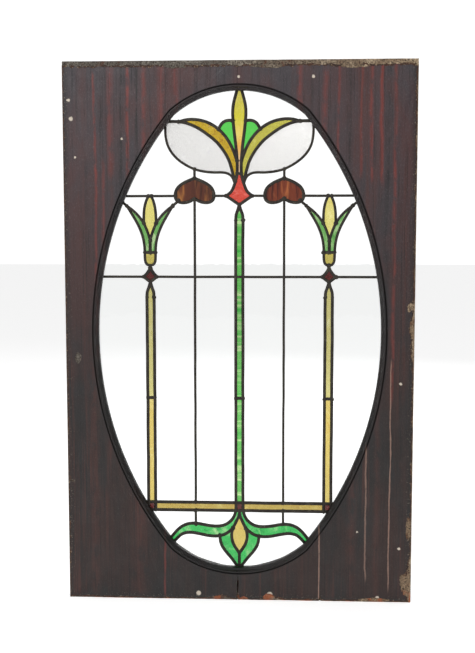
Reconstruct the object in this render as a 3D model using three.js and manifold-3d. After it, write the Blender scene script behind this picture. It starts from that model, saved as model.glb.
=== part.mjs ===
// A leaded window sash: an upright board frame with a long oval light of stained glass.
// Millimetres. +X is right, +Y runs through the sash to its back, +Z is up.
// The origin is at the middle of the bottom edge, where the sash stands on its sill.
import * as THREE from 'three';
import { mergeVertices } from 'three/addons/utils/BufferGeometryUtils.js';
import Module from 'manifold-3d';

const wasm = await Module();
wasm.setup();

// ---- Driving dimensions ----

const SASH_WIDTH = 686;
const SASH_HEIGHT = 1066;
const SASH_THICKNESS = 35;
const SASH_ARRIS = 1.2;
const JOINT_X = -2.5;
const CLEARANCE = 0.3;

// The oval is drawn with a compass: two long side arcs and two short end arcs.
const OVAL_MIDDLE_Z = 537;
const OVAL_HALF_WIDTH = 279;
const OVAL_HALF_HEIGHT = 473;
const SIDE_RADIUS = 676;
const END_RADIUS = 198;
const SIDE_STEPS = 16;
const END_STEPS = 11;

// Carved moulding, from the flat face in to the sight edge: [outside the sight edge, depth]
const MOULDING = [
  [11.5, 0],
  [10.2, 2.4],
  [8.2, 0.5],
  [6.2, 0.4],
  [4.4, 3.6],
  [1.4, 6.5],
  [0, 11],
];
const LIP_DEPTH = 18;
const REBATE_WIDTH = 10;
const PUTTY_SINK = 1.5;
const PUTTY_EDGE = 1;

// Cames: a face leaf in one of two widths on a narrow heart, and the glass behind the leaf.
// Their thin back leaves are left out, so that each pane shows whole from behind.
const HEAVY = 6;
const THIN = 4.8;
const CAME_DEPTH = 6;
const LEAF = 1.1;
const HEART = 1.6;
const GLASS_THICKNESS = 3.2;
const BORDER_OFFSET = 4;
const BORDER_SIDE_STEPS = 12;
const BORDER_END_STEPS = 8;

// How finely the leads are drawn, and how far a straight step may leave the curve
const STEPS_PER_POINT = 10;
const FACE_TOLERANCE = 0.7;
const HEART_TOLERANCE = { [HEAVY]: 1.5, [THIN]: 1.1 };
const SOLDER_REACH = 3;
const SAME_PLACE = 0.05;
const MITRE_LIMIT = 0.5;

// How far a cutter runs past what it cuts, and each strip of lead past the one before it
const OVER = 1;
const STRIP_STAGGER = 0.01;
const PIN_HALF = 0.2;

const FRONT = -SASH_THICKNESS / 2;
const BACK = SASH_THICKNESS / 2;
const CAME_FRONT = FRONT + LIP_DEPTH + CLEARANCE;
const CAME_BACK = CAME_FRONT + CAME_DEPTH;
const GLASS_FRONT = CAME_FRONT + (CAME_DEPTH - GLASS_THICKNESS) / 2;
const GLASS_BACK = GLASS_FRONT + GLASS_THICKNESS;

// Places of the straight leads
const THIN_X = 88;
const TULIP_X = 176.5;
const STRIP_HALF = 7.15;
const BAR_TOP = 194.1;
const BAR_BOTTOM = 177.9;
const CROSS_Z = 407;
const WAIST_Z = 649;
const SHOULDER_Z = 807.8;
const HEART_HALF = 38.4;
const HEART_TOP_Z = 842.3;
const HEART_NOTCH_Z = 802.5;
const HANGER_TOP_Z = 859.9;
const THROAT_Z = 851;
const THROAT_HALF = 4;
const DIAMOND_HALF = 25.5;
const SMALL_DIAMOND_HALF = 13.6;
const PAST_SIDE = 290;
const PAST_FOOT_Z = 55;

// ---- The oval and its offsets ----

/** The oval grown by `offset`, anticlockwise from its lower right corner, as [x, z] points. */
function ovalRing(offset, sideSteps = SIDE_STEPS, endSteps = END_STEPS) {
  const sideCentre = SIDE_RADIUS - OVAL_HALF_WIDTH;
  const endCentre = OVAL_HALF_HEIGHT - END_RADIUS;
  const sideRadius = SIDE_RADIUS + offset;
  const endRadius = END_RADIUS + offset;
  const apart = Math.hypot(sideCentre, endCentre);
  const along = (sideRadius ** 2 - endRadius ** 2 + apart ** 2) / (2 * apart);
  const across = Math.sqrt(sideRadius ** 2 - along ** 2);
  const cornerX = -sideCentre + (along * sideCentre + across * endCentre) / apart;
  const cornerZ = (along * endCentre - across * sideCentre) / apart;
  const corner = cornerX > 0 && cornerZ > 0
    ? [cornerX, cornerZ]
    : [-sideCentre + (along * sideCentre - across * endCentre) / apart,
      (along * endCentre + across * sideCentre) / apart];
  const sideAngle = Math.atan2(corner[1], corner[0] + sideCentre);
  const endAngle = Math.atan2(corner[1] - endCentre, corner[0]);
  const half = [];
  for (let i = 0; i < sideSteps; i += 1) {
    const angle = THREE.MathUtils.lerp(-sideAngle, sideAngle, i / sideSteps);
    half.push([sideRadius * Math.cos(angle) - sideCentre, sideRadius * Math.sin(angle)]);
  }
  for (let i = 0; i < endSteps; i += 1) {
    const angle = THREE.MathUtils.lerp(endAngle, Math.PI - endAngle, i / endSteps);
    half.push([endRadius * Math.cos(angle), endCentre + endRadius * Math.sin(angle)]);
  }
  const opposite = half.map(([x, z]) => [-x, -z]);
  return [...half, ...opposite].map(([x, z]) => [x, z + OVAL_MIDDLE_Z]);
}

// ---- Solids ----

/** A closed geometry as a manifold solid. */
function solid(geometry) {
  geometry.deleteAttribute('normal');
  geometry.deleteAttribute('uv');
  const merged = mergeVertices(geometry, 1e-4);
  return new wasm.Manifold(new wasm.Mesh({
    numProp: 3,
    vertProperties: new Float32Array(merged.attributes.position.array),
    triVerts: new Uint32Array(merged.index.array),
  }));
}

/** An outline of [x, z] points as a plate from one depth to another. */
function plate(outline, front, back) {
  const shape = new THREE.Shape(outline.map(([x, z]) => new THREE.Vector2(x, z)));
  const geometry = new THREE.ExtrudeGeometry(shape, { depth: back - front, bevelEnabled: false });
  geometry.rotateX(Math.PI / 2);
  geometry.translate(0, back, 0);
  return solid(geometry);
}

/** A block between two corners. */
function block([x0, y0, z0], [x1, y1, z1]) {
  const geometry = new THREE.BoxGeometry(x1 - x0, y1 - y0, z1 - z0);
  geometry.translate((x0 + x1) / 2, (y0 + y1) / 2, (z0 + z1) / 2);
  return solid(geometry);
}

/** Round anticlockwise rings of [x, y, z] points joined front to back, with flat end caps. */
function loft(rings) {
  const count = rings[0].length;
  const last = (rings.length - 1) * count;
  const index = [];
  for (let r = 0; r < rings.length - 1; r += 1) {
    for (let i = 0; i < count; i += 1) {
      const a = r * count + i;
      const b = r * count + ((i + 1) % count);
      index.push(a, a + count, b, b, a + count, b + count);
    }
  }
  for (let i = 1; i < count - 1; i += 1) {
    index.push(0, i, i + 1);
    index.push(last, last + i + 1, last + i);
  }
  const geometry = new THREE.BufferGeometry();
  geometry.setAttribute('position', new THREE.Float32BufferAttribute(rings.flat(2), 3));
  geometry.setIndex(index);
  return solid(geometry);
}

/** The space swept round the oval by a profile of [offset, y] points, front to back. */
function ovalSpace(profile) {
  return loft(profile.map(([offset, y]) => ovalRing(offset).map(([x, z]) => [x, y, z])));
}

// ---- Lead lines: centre lines of smooth runs, drawn on the right and mirrored to the left ----

const mirrored = (points) => points.map(([x, z]) => [-x, z]);
const beside = (points, axis) => points.map(([x, z]) => [x + axis, z]);
const backwards = (points) => [...points].reverse();

/** The runs of a figure that is the same on both sides of x = 0, from end to end through it. */
const bothSides = (...runs) => [...backwards(runs).map((run) => backwards(mirrored(run))), ...runs];

// The top flower, from the border down to the diamond's side corner, and what leaves it
const BUD_SIDE = [[2.4, 1018], [7.8, 1000], [11.8, 983], [12.8, 965], [10.8, 940], [7.2, 910],
  [4.7, 885], [3.8, 862], [5, 846], [9, 831], [15.5, 816.5], [DIAMOND_HALF, SHOULDER_Z]];
const GREEN_PETAL = [[12.4, 953], [20, 953.8], [28, 952.2], [34.5, 947.4], [41, 937]];
const LEAF_UPPER = [[118, 951.6], [104, 955.2], [90, 956], [76, 954.2], [62, 950], [48, 942.4],
  [36, 932.7], [26, 921.5], [18, 909], [11.5, 895.5], [4.3, 876]];
const LEAF_LOWER = [[150, 951.5], [130, 952.2], [114, 951.2], [100, 947.8], [82, 939.8],
  [62.5, 926.9], [45, 912.6], [30, 894], [20, 876], [13.8, 856], [8.6, 836]];
const OPAL_EDGE = [[143.4, 951.6], [144.5, 937], [143.6, 922], [140.2, 907], [133, 893],
  [121.5, 880], [106, 868.8], [THIN_X, HANGER_TOP_Z], [70, 855.3], [50, 853.2], [32, 853.1],
  [21.5, 850.6], [14, 844.5], [9.2, 833]];
const DIAMOND_FOOT = [0, 790.4];

// One side of an upside-down heart, from its own axis
const HEART_SIDE = [[0, HEART_TOP_Z], [10, 838.3], [21, 833.2], [31, 826], [36.6, 817.5],
  [HEART_HALF, SHOULDER_Z], [36, 799.8], [29.5, 795.2], [20, 794.5], [10, 796.8],
  [0, HEART_NOTCH_Z]];
const HEART_PEAK = [[-3, HEART_TOP_Z - 1.2], [0, HEART_TOP_Z]];
const HEART_NOTCH = [[0, HEART_NOTCH_Z], [-3, HEART_NOTCH_Z - 1.7]];

// One side of a tulip, of the small diamond under it and of a strip's top, from their own axis
const TULIP_SIDE = [[0, 671.4], [5.5, 672.8], [9.4, 678], [10.6, 687], [10.7, 697], [11.2, 708],
  [12.8, 720], [16, 732.5], [20.8, 745], [27, 757.5], [34.5, 770.5], [41, 781.5], [45.5, 788.5]];
const TULIP_LEAF = [[0, 720], [2.2, 729], [5.2, 738], [8.4, 746], [12, 753.8], [17, 761.5],
  [22.5, 768.6], [29, 775.5], [36, 781.8], [43, 787], [51.5, 793.8], [57, 798.5]];
const TULIP_BUD = [[12.2, 754], [12.1, 764], [11.6, 775], [10.2, 786], [7.4, 797], [3, SHOULDER_Z]];
const TULIP_FORK_Z = 720;
const CUP_Z = 697.2;
const SMALL_DIAMOND_TOP = [0, 666];
const SMALL_DIAMOND_FOOT = [0, 638.6];
const SMALL_DIAMOND_SIDE = [SMALL_DIAMOND_HALF, WAIST_Z];
const SMALL_DIAMOND_UPPER = [SMALL_DIAMOND_TOP, [3.4, 660.6], [7.6, 654.6], SMALL_DIAMOND_SIDE];
const STRIP_SHOULDER = [[3.6, 12], [6.2, 19], [STRIP_HALF, 30]];

// The bottom flower
const FLOWER_HEART = [[0, 90.5], [9.6, 104.5], [13.8, 114], [15.6, 124], [15.2, 133], [12.6, 142],
  [8.6, 150.5], [4.6, 159], [0, 169.5]];
const SCROLL_TOP_Z = 150.6;
const SCROLL_UPPER = [[7.3, BAR_BOTTOM], [9.6, 169.5], [13.6, 161.5], [20, 154.4], [29, 148.6],
  [40, 145.8], [52, 145.5], [66, 147.1], [80, 149.8], [THIN_X, SCROLL_TOP_Z], [94, 150.8],
  [106, 149], [117.5, 143.4], [127, 134.8], [141.5, 117]];
const SCROLL_LOWER = [[12.6, 142], [17.2, 137.6], [23, 132.8], [30, 128.7], [40, 125.6],
  [52, 124.8], [66, 126.2], [82, 129.5], [97, 131.7], [108, 131], [117.5, 127.2], [134, 111]];
const LOWER_PETAL = [[39.5, 125.7], [38.6, 116], [36, 107], [30.5, 97.5], [23, 88], [15, 78.5],
  [2.4, 61]];

/** The outline of a strip of glass: up one side, round its pointed top and down the other. */
function stripRuns(foot, top) {
  const shoulder = [[0, top], ...STRIP_SHOULDER.map(([x, fall]) => [x, top - fall])];
  const side = [shoulder[shoulder.length - 1], [STRIP_HALF, foot]];
  return bothSides(shoulder, side);
}

/** Every lead but the border came: { width, runs }, each run smooth or straight. */
function leadPlan() {
  const plan = [];
  const add = (width, ...runs) => plan.push({ width, runs });
  const addPair = (width, points) => {
    add(width, points);
    add(width, mirrored(points));
  };
  for (const curve of [BUD_SIDE, GREEN_PETAL, LEAF_UPPER, LEAF_LOWER]) addPair(HEAVY, curve);
  for (const curve of [SCROLL_UPPER, SCROLL_LOWER, LOWER_PETAL]) addPair(HEAVY, curve);
  addPair(THIN, OPAL_EDGE);
  add(HEAVY, [[-THROAT_HALF, THROAT_Z], [THROAT_HALF, THROAT_Z]]);
  add(HEAVY, ...bothSides([DIAMOND_FOOT, [DIAMOND_HALF, SHOULDER_Z]]));
  add(HEAVY, ...stripRuns(BAR_BOTTOM, DIAMOND_FOOT[1]));
  addPair(HEAVY, FLOWER_HEART);
  add(HEAVY, [[0, BAR_BOTTOM], FLOWER_HEART[FLOWER_HEART.length - 1]]);
  add(HEAVY, [FLOWER_HEART[0], [0, PAST_FOOT_Z]]);
  add(HEAVY, [[-STRIP_HALF, CROSS_Z], [STRIP_HALF, CROSS_Z]]);
  add(HEAVY, [[-PAST_SIDE, BAR_TOP], [PAST_SIDE, BAR_TOP]]);
  add(HEAVY, [[-PAST_SIDE, BAR_BOTTOM], [PAST_SIDE, BAR_BOTTOM]]);

  const heartSide = THIN_X + HEART_HALF;
  const heartInside = THIN_X - HEART_HALF;
  addPair(THIN, [[THIN_X, HANGER_TOP_Z], [THIN_X, HEART_TOP_Z]]);
  addPair(THIN, [[THIN_X, HEART_NOTCH_Z], [THIN_X, BAR_TOP]]);
  addPair(THIN, [[THIN_X, BAR_BOTTOM], [THIN_X, SCROLL_TOP_Z]]);
  addPair(THIN, [[PAST_SIDE, SHOULDER_Z], [heartSide, SHOULDER_Z]]);
  addPair(THIN, [[heartInside, SHOULDER_Z], [DIAMOND_HALF, SHOULDER_Z]]);
  addPair(THIN, [[PAST_SIDE, WAIST_Z], [TULIP_X + SMALL_DIAMOND_HALF, WAIST_Z]]);
  const inner = TULIP_X - SMALL_DIAMOND_HALF;
  add(THIN, [[-inner, WAIST_Z], [inner, WAIST_Z]]);

  const heartRuns = [HEART_PEAK, HEART_SIDE, HEART_NOTCH];
  for (const axis of [-THIN_X, THIN_X]) {
    add(HEAVY, ...heartRuns.map((run) => beside(run, axis)));
    add(HEAVY, ...heartRuns.map((run) => beside(mirrored(run), axis)));
  }
  for (const axis of [-TULIP_X, TULIP_X]) {
    const at = (runs) => runs.map((run) => beside(run, axis));
    add(HEAVY, ...at([[...backwards(mirrored(TULIP_SIDE)), ...TULIP_SIDE.slice(1)]]));
    add(HEAVY, ...at(bothSides(TULIP_LEAF)));
    add(HEAVY, ...at([[[0, TULIP_FORK_Z], [0, CUP_Z]]]));
    add(HEAVY, ...at([[[-10.7, CUP_Z], [10.7, CUP_Z]]]));
    for (const bud of [TULIP_BUD, mirrored(TULIP_BUD)]) add(HEAVY, ...at([bud]));
    add(THIN, ...at([[[0, 671.4], SMALL_DIAMOND_TOP]]));
    const diamond = [[SMALL_DIAMOND_FOOT, SMALL_DIAMOND_SIDE], backwards(SMALL_DIAMOND_UPPER)];
    add(HEAVY, ...at(diamond));
    add(HEAVY, ...at(diamond.map(mirrored)));
    add(HEAVY, ...at(stripRuns(BAR_BOTTOM, SMALL_DIAMOND_FOOT[1])));
    add(HEAVY, ...at([[[-STRIP_HALF, CROSS_Z], [STRIP_HALF, CROSS_Z]]]));
  }
  return plan;
}

/** A lead's runs as one fine line of { x, z, kept } places; its corners are kept. */
function fineLine(runs) {
  const line = [];
  for (const run of runs) {
    const curve = new THREE.CatmullRomCurve3(
      run.map(([x, z]) => new THREE.Vector3(x, z, 0)), false, 'centripetal');
    const places = run.length === 2 ? curve.points : curve.getPoints(run.length * STEPS_PER_POINT);
    places.forEach(({ x, y }, i) => {
      if (i === 0 && line.length) return;
      line.push({ x, z: y, kept: i === 0 || i === places.length - 1 });
    });
  }
  return line;
}

/** The place on a line that is nearest to a point. */
function nearestOn(line, point) {
  let best = { away: Infinity };
  for (let i = 0; i < line.length - 1; i += 1) {
    const run = { x: line[i + 1].x - line[i].x, z: line[i + 1].z - line[i].z };
    const share = ((point.x - line[i].x) * run.x + (point.z - line[i].z) * run.z)
      / (run.x ** 2 + run.z ** 2);
    const t = THREE.MathUtils.clamp(share, 0, 1);
    const place = { x: line[i].x + t * run.x, z: line[i].z + t * run.z };
    const away = Math.hypot(place.x - point.x, place.z - point.z);
    if (away < best.away) best = { away, place };
  }
  return best;
}

/** Brings each lead's ends onto the lead they are soldered to. */
function solderEnds(lines) {
  for (const line of lines) {
    const others = lines.filter((other) => other !== line);
    for (const end of [line[0], line[line.length - 1]]) {
      const hits = others.map((other) => nearestOn(other, end));
      const hit = hits.reduce((a, b) => (b.away < a.away ? b : a));
      if (hit.away <= SOLDER_REACH) Object.assign(end, hit.place);
    }
  }
}

/** Drops the places that a straight run between their neighbours would pass within `tolerance`. */
function thinned(line, tolerance) {
  const first = line[0];
  const last = line[line.length - 1];
  const run = new THREE.Vector2(last.x - first.x, last.z - first.z);
  const closed = run.length() < SAME_PLACE;
  const away = line.map(({ x, z, kept }, i) => {
    if (i === 0 || i === line.length - 1) return 0;
    if (kept) return Infinity;
    const off = new THREE.Vector2(x - first.x, z - first.z);
    return closed ? off.length() : Math.abs(run.cross(off)) / run.length();
  });
  const farthest = away.indexOf(Math.max(...away));
  if (away[farthest] <= tolerance) return [first, last];
  const before = thinned(line.slice(0, farthest + 1), tolerance);
  return [...before.slice(0, -1), ...thinned(line.slice(farthest), tolerance)];
}

/** The outline of a strip of the given width along a centre line. */
function stripOutline(line, width) {
  const left = [];
  const right = [];
  line.forEach(({ x, z }, i) => {
    const from = line[Math.max(i - 1, 0)];
    const to = line[Math.min(i + 1, line.length - 1)];
    const before = new THREE.Vector2(x - from.x, z - from.z).normalize();
    const after = new THREE.Vector2(to.x - x, to.z - z).normalize();
    const along = before.clone().add(after).normalize();
    const reach = width / 2 / Math.max(along.dot(i ? before : after), MITRE_LIMIT);
    left.push([x - along.y * reach, z + along.x * reach]);
    right.push([x + along.y * reach, z - along.x * reach]);
  });
  return [...right, ...left.reverse()];
}

const DRAWN_LEADS = leadPlan().map(({ width, runs }) => ({ width, line: fineLine(runs) }));

/** The leads in as few straight steps as `toleranceOf` a came's width allows. */
function coarseLeads(toleranceOf) {
  const leads = DRAWN_LEADS.map(({ width, line }) => ({
    width,
    line: thinned(line, toleranceOf(width)).map((place) => ({ ...place })),
  }));
  solderEnds(leads.map(({ line }) => line));
  return leads;
}

const FACE_LEADS = coarseLeads(() => FACE_TOLERANCE);
const HEART_LEADS = coarseLeads((width) => HEART_TOLERANCE[width]);

/** The border came's centre line, moved out by `offset`. */
function borderRing(offset) {
  return ovalRing(BORDER_OFFSET + offset, BORDER_SIDE_STEPS, BORDER_END_STEPS);
}

/**
 * The leads inside the border joined as strips, which run past the came's front and back. Each
 * stands a little taller than the last, so that no two end faces share a plane as they join.
 */
function leadStrips(leads, widthOf) {
  const strips = leads.map(({ width, line }, i) => {
    const over = OVER + i * STRIP_STAGGER;
    return plate(stripOutline(line, widthOf(width)), CAME_FRONT - over, CAME_BACK + over);
  });
  const inside = plate(borderRing(0), CAME_FRONT - 2 * OVER, CAME_BACK + 2 * OVER);
  return strips.reduce((all, strip) => all.add(strip)).intersect(inside);
}

// ---- Pieces ----

const MATERIALS = {
  varnish: { color: 0x3a2f2c, roughness: 0.5, metalness: 0 },
  lead: { color: 0x4a4842, roughness: 0.6, metalness: 0.6 },
  putty: { color: 0x8d857c, roughness: 0.95, metalness: 0 },
  clear: { color: 0xf4f8f6, roughness: 0.05, metalness: 0 },
  yellow: { color: 0xc8b63f, roughness: 0.15, metalness: 0 },
  amber: { color: 0xd2a94a, roughness: 0.15, metalness: 0 },
  green: { color: 0x4fc768, roughness: 0.15, metalness: 0 },
  opal: { color: 0xe6e5e6, roughness: 0.25, metalness: 0 },
  red: { color: 0xc8343c, roughness: 0.15, metalness: 0 },
  oxblood: { color: 0x5e2526, roughness: 0.15, metalness: 0 },
  heart: { color: 0x7a3a22, roughness: 0.15, metalness: 0 },
};

const part = new THREE.Group();

/** A solid put in the part as a named mesh. */
function addPiece(name, body, material) {
  const { vertProperties, triVerts } = body.getMesh();
  const geometry = new THREE.BufferGeometry();
  geometry.setAttribute('position', new THREE.BufferAttribute(new Float32Array(vertProperties), 3));
  geometry.setIndex(new THREE.BufferAttribute(new Uint32Array(triVerts), 1));
  geometry.computeVertexNormals();
  const glass = !['varnish', 'lead', 'putty'].includes(material);
  const mesh = new THREE.Mesh(geometry, new THREE.MeshStandardMaterial({
    ...MATERIALS[material], transparent: glass, opacity: glass ? 0.7 : 1,
  }));
  mesh.name = name;
  part.add(mesh);
}

/** The sash: one board cut by the moulded oval, the rebate and the middle joint. */
function addSash() {
  const half = SASH_WIDTH / 2;
  const corner = half - SASH_ARRIS;
  const outline = [[-corner, SASH_ARRIS], [corner, SASH_ARRIS],
    [corner, SASH_HEIGHT - SASH_ARRIS], [-corner, SASH_HEIGHT - SASH_ARRIS]];
  const shape = new THREE.Shape(outline.map(([x, z]) => new THREE.Vector2(x, z)));
  const geometry = new THREE.ExtrudeGeometry(shape, {
    depth: SASH_THICKNESS - 2 * SASH_ARRIS,
    bevelThickness: SASH_ARRIS,
    bevelSize: SASH_ARRIS,
    bevelSegments: 1,
  });
  geometry.rotateX(Math.PI / 2);
  geometry.translate(0, BACK - SASH_ARRIS, 0);
  const front = MOULDING.map(([offset, depth]) => [offset, FRONT + depth]);
  const light = ovalSpace([[MOULDING[0][0], FRONT - OVER], ...front, [0, BACK + OVER]]);
  const rebate = ovalSpace([[REBATE_WIDTH, FRONT + LIP_DEPTH], [REBATE_WIDTH, BACK + OVER]]);
  const board = solid(geometry).subtract(light).subtract(rebate);
  const gap = CLEARANCE / 2;
  const low = [-half - OVER, FRONT - OVER, -OVER];
  const high = [half + OVER, BACK + OVER, SASH_HEIGHT + OVER];
  const leftSide = block(low, [JOINT_X - gap, high[1], high[2]]);
  const rightSide = block([JOINT_X + gap, low[1], low[2]], high);
  addPiece('sash_left', board.intersect(leftSide), 'varnish');
  addPiece('sash_right', board.intersect(rightSide), 'varnish');
}

/** The net of cames, soldered into one piece: bars with a channel for the glass round each pane. */
function addCames() {
  const tall = 2 * OVER;
  const border = plate(borderRing(HEAVY / 2), CAME_FRONT - tall, CAME_BACK + tall)
    .subtract(plate(borderRing(-HEAVY / 2), CAME_FRONT - 2 * tall, CAME_BACK + 2 * tall));
  const bars = leadStrips(FACE_LEADS, (width) => width);
  const level = plate(borderRing(HEAVY), CAME_FRONT, CAME_BACK);
  const channels = plate(borderRing(-HEART / 2), CAME_FRONT + LEAF, CAME_BACK + OVER)
    .subtract(leadStrips(HEART_LEADS, () => HEART));
  addPiece('lead_cames', border.add(bars).intersect(level).subtract(channels), 'lead');
}

/** A putty fillet from the back of the came up to the back of the rebate. */
function addPutty() {
  const start = CAME_BACK + CLEARANCE;
  const outer = REBATE_WIDTH - CLEARANCE;
  const foot = BORDER_OFFSET - HEAVY / 2;
  const crest = BACK - PUTTY_SINK;
  const edge = outer - PUTTY_EDGE;
  const ring = ovalSpace([[outer, start], [outer, crest]]);
  const slope = [[foot, start - OVER], [foot, start], [edge, crest], [edge, crest + OVER]];
  const hollow = ovalSpace(slope);
  addPiece('glazing_putty', ring.subtract(hollow), 'putty');
}

// Panes by name: [material, x, z] of a place inside each, the right one of a pair
const PAIRED_PANES = {
  green_petal: ['green', 24, 940],
  yellow_leaf: ['yellow', 66, 940],
  opal_petal: ['opal', 95, 905],
  heart: ['heart', THIN_X, 815],
  tulip_bud: ['yellow', TULIP_X, 775],
  tulip_leaf_outer: ['green', TULIP_X + 20, 754],
  tulip_leaf_inner: ['green', TULIP_X - 20, 754],
  tulip_cup: ['yellow', TULIP_X, 685],
  small_diamond: ['oxblood', TULIP_X, 650],
  yellow_strip_upper: ['yellow', TULIP_X, 520],
  yellow_strip_lower: ['amber', TULIP_X, 300],
  red_square: ['oxblood', TULIP_X, 186],
  amber_bar: ['amber', THIN_X, 186],
  scroll: ['green', 60, 136],
  lower_petal: ['green', 26, 110],
  clear_top: ['clear', 60, 985],
  clear_shoulder: ['clear', 165, 870],
  clear_outer_upper: ['clear', 235, 700],
  clear_middle_upper: ['clear', 125, 700],
  clear_inner_upper: ['clear', 50, 720],
  clear_outer_lower: ['clear', 230, 450],
  clear_middle_lower: ['clear', 130, 400],
  clear_inner_lower: ['clear', 50, 400],
  clear_bottom: ['clear', 80, 105],
};
const MIDDLE_PANES = {
  bud_top: ['yellow', 0, 960],
  red_diamond: ['red', 0, 815],
  green_strip_top: ['green', 0, 720],
  green_strip_middle: ['green', 0, 500],
  green_strip_bottom: ['green', 0, 300],
  red_square_centre: ['oxblood', 0, 186],
  flower_heart: ['amber', 0, 125],
};

/** The panes: a sheet cut along every heart, each piece kept clear of the lead on all sides. */
function addPanes() {
  const sheet = plate(borderRing(-HEART / 2 - CLEARANCE), GLASS_FRONT, GLASS_BACK);
  const hearts = leadStrips(HEART_LEADS, () => HEART + 2 * CLEARANCE);
  const panes = sheet.subtract(hearts).decompose();
  const paneAt = (x, z) => {
    const pin = block(
      [x - PIN_HALF, GLASS_FRONT, z - PIN_HALF], [x + PIN_HALF, GLASS_BACK, z + PIN_HALF]);
    return panes.find((pane) => !pane.intersect(pin).isEmpty());
  };
  for (const [name, [material, x, z]] of Object.entries(PAIRED_PANES)) {
    addPiece(`${name}_left`, paneAt(-x, z), material);
    addPiece(`${name}_right`, paneAt(x, z), material);
  }
  for (const [name, [material, x, z]] of Object.entries(MIDDLE_PANES)) {
    addPiece(name, paneAt(x, z), material);
  }
}

addSash();
addCames();
addPutty();
addPanes();

export default part;
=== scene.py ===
# %% [markdown]
# # A leaded oval light in a varnished board sash
# Two wide boards make the sash. A moulding is carved round their oval opening, and a panel of
# stained glass held in lead cames sits behind it, bedded in putty. The CAD model gives every
# piece its place. Here the boards, the leads and the putty are remade with the finer shapes
# that a maker's hands and a hundred years leave, and every piece of glass gets its own colour.

# %% Load the fixed frame
import math
import random

import bpy
from mathutils import Matrix, Vector, noise


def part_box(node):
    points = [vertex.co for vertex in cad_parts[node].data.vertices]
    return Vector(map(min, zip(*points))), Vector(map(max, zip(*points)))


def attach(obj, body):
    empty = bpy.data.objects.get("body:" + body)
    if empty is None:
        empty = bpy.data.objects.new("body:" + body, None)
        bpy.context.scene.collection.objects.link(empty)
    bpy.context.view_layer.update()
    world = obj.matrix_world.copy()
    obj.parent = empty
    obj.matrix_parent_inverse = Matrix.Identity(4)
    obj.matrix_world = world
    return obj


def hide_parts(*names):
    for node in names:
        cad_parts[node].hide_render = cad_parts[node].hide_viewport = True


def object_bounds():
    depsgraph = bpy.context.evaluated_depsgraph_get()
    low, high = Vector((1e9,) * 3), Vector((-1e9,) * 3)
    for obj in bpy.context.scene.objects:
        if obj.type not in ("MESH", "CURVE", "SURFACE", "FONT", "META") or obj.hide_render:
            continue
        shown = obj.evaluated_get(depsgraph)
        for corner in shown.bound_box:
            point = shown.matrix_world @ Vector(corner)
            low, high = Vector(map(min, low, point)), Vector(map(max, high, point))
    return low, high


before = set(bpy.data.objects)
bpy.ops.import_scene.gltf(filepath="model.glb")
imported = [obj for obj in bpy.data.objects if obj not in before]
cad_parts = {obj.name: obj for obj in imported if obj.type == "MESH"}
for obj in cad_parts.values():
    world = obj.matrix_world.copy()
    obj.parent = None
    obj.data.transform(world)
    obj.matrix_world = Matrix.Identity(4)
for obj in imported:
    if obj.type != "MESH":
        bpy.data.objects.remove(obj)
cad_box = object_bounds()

MM = 0.001
FRONT = cad_box[0][1]
BACK = cad_box[1][1]
SIDE = cad_box[1][0]
TOP = cad_box[1][2]
print("sash", [round((high - low) / MM, 1) for low, high in zip(*cad_box)], "mm")

# %% [markdown]
# The panel is set out as a lead worker's cartoon: flat on the bench, in millimetres, with x to
# the right of the middle and z up from the bottom edge. Only depths are counted from the front.

# %% Set out the oval
OVAL_MIDDLE = 537.0
SIDE_RADIUS, SIDE_CENTRE = 676.0, 397.0
END_RADIUS, END_CENTRE = 198.0, 275.0
CORNER = (127.4, 426.6)
CAME_MIDDLE = (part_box("lead_cames")[0][1] - FRONT) / MM + 3.0
print("middle of the cames", round(CAME_MIDDLE, 2), "mm behind the front")


def place(x, z, depth):
    """A point of the cartoon, at a depth in millimetres behind the front, in metres."""
    return Vector((x * MM, FRONT + depth * MM, z * MM))


def outside_oval(x, z):
    """How far a point lies outside the sight edge, in millimetres."""
    across, up = abs(x), abs(z - OVAL_MIDDLE)
    if (up - END_CENTRE) * CORNER[0] > across * (CORNER[1] - END_CENTRE):
        return math.hypot(across, up - END_CENTRE) - END_RADIUS
    return math.hypot(across + SIDE_CENTRE, up) - SIDE_RADIUS


def oval_point(turn, offset):
    """The point of the oval grown by an offset, on the ray that leaves its middle at an angle."""
    ray = Vector((math.cos(turn), math.sin(turn)))
    near, far = 0.0, 700.0
    while far - near > 0.01:
        middle = (near + far) / 2
        x, z = ray * middle
        near, far = (middle, far) if outside_oval(x, z + OVAL_MIDDLE) < offset else (near, middle)
    x, z = ray * near
    return x, z + OVAL_MIDDLE


# %% [markdown]
# Blender's modelling tools act on whatever is selected, so each step starts from nothing
# selected. These few helpers do what the hand does between two tools.

# %% Hold one piece at a time
def drop_all():
    """Leaves nothing selected."""
    bpy.ops.object.select_all(action="DESELECT")


def pick(*pieces):
    """Selects these pieces alone, the first of them active."""
    drop_all()
    for piece in pieces:
        piece.select_set(True)
    bpy.context.view_layer.objects.active = pieces[0]


def settle(piece):
    """Puts a piece's place, turn and size into its mesh."""
    pick(piece)
    bpy.ops.object.transform_apply(location=True, rotation=True, scale=True)
    return piece


def edit(piece, select="DESELECT"):
    """Opens a piece in edit mode."""
    pick(piece)
    bpy.ops.object.mode_set(mode="EDIT")
    bpy.ops.mesh.select_all(action=select)


def close_edit():
    """Goes back to object mode."""
    bpy.ops.object.mode_set(mode="OBJECT")


def join(*pieces):
    """Joins pieces into the first of them."""
    pick(*pieces)
    bpy.ops.object.join()
    return pieces[0]


def copy_of(piece, name):
    """A copy of a piece, with its own mesh."""
    copy = piece.copy()
    copy.data = piece.data.copy()
    copy.name = copy.data.name = name
    bpy.context.collection.objects.link(copy)
    copy.hide_viewport = copy.hide_render = False
    copy.hide_set(False)
    return copy


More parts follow.
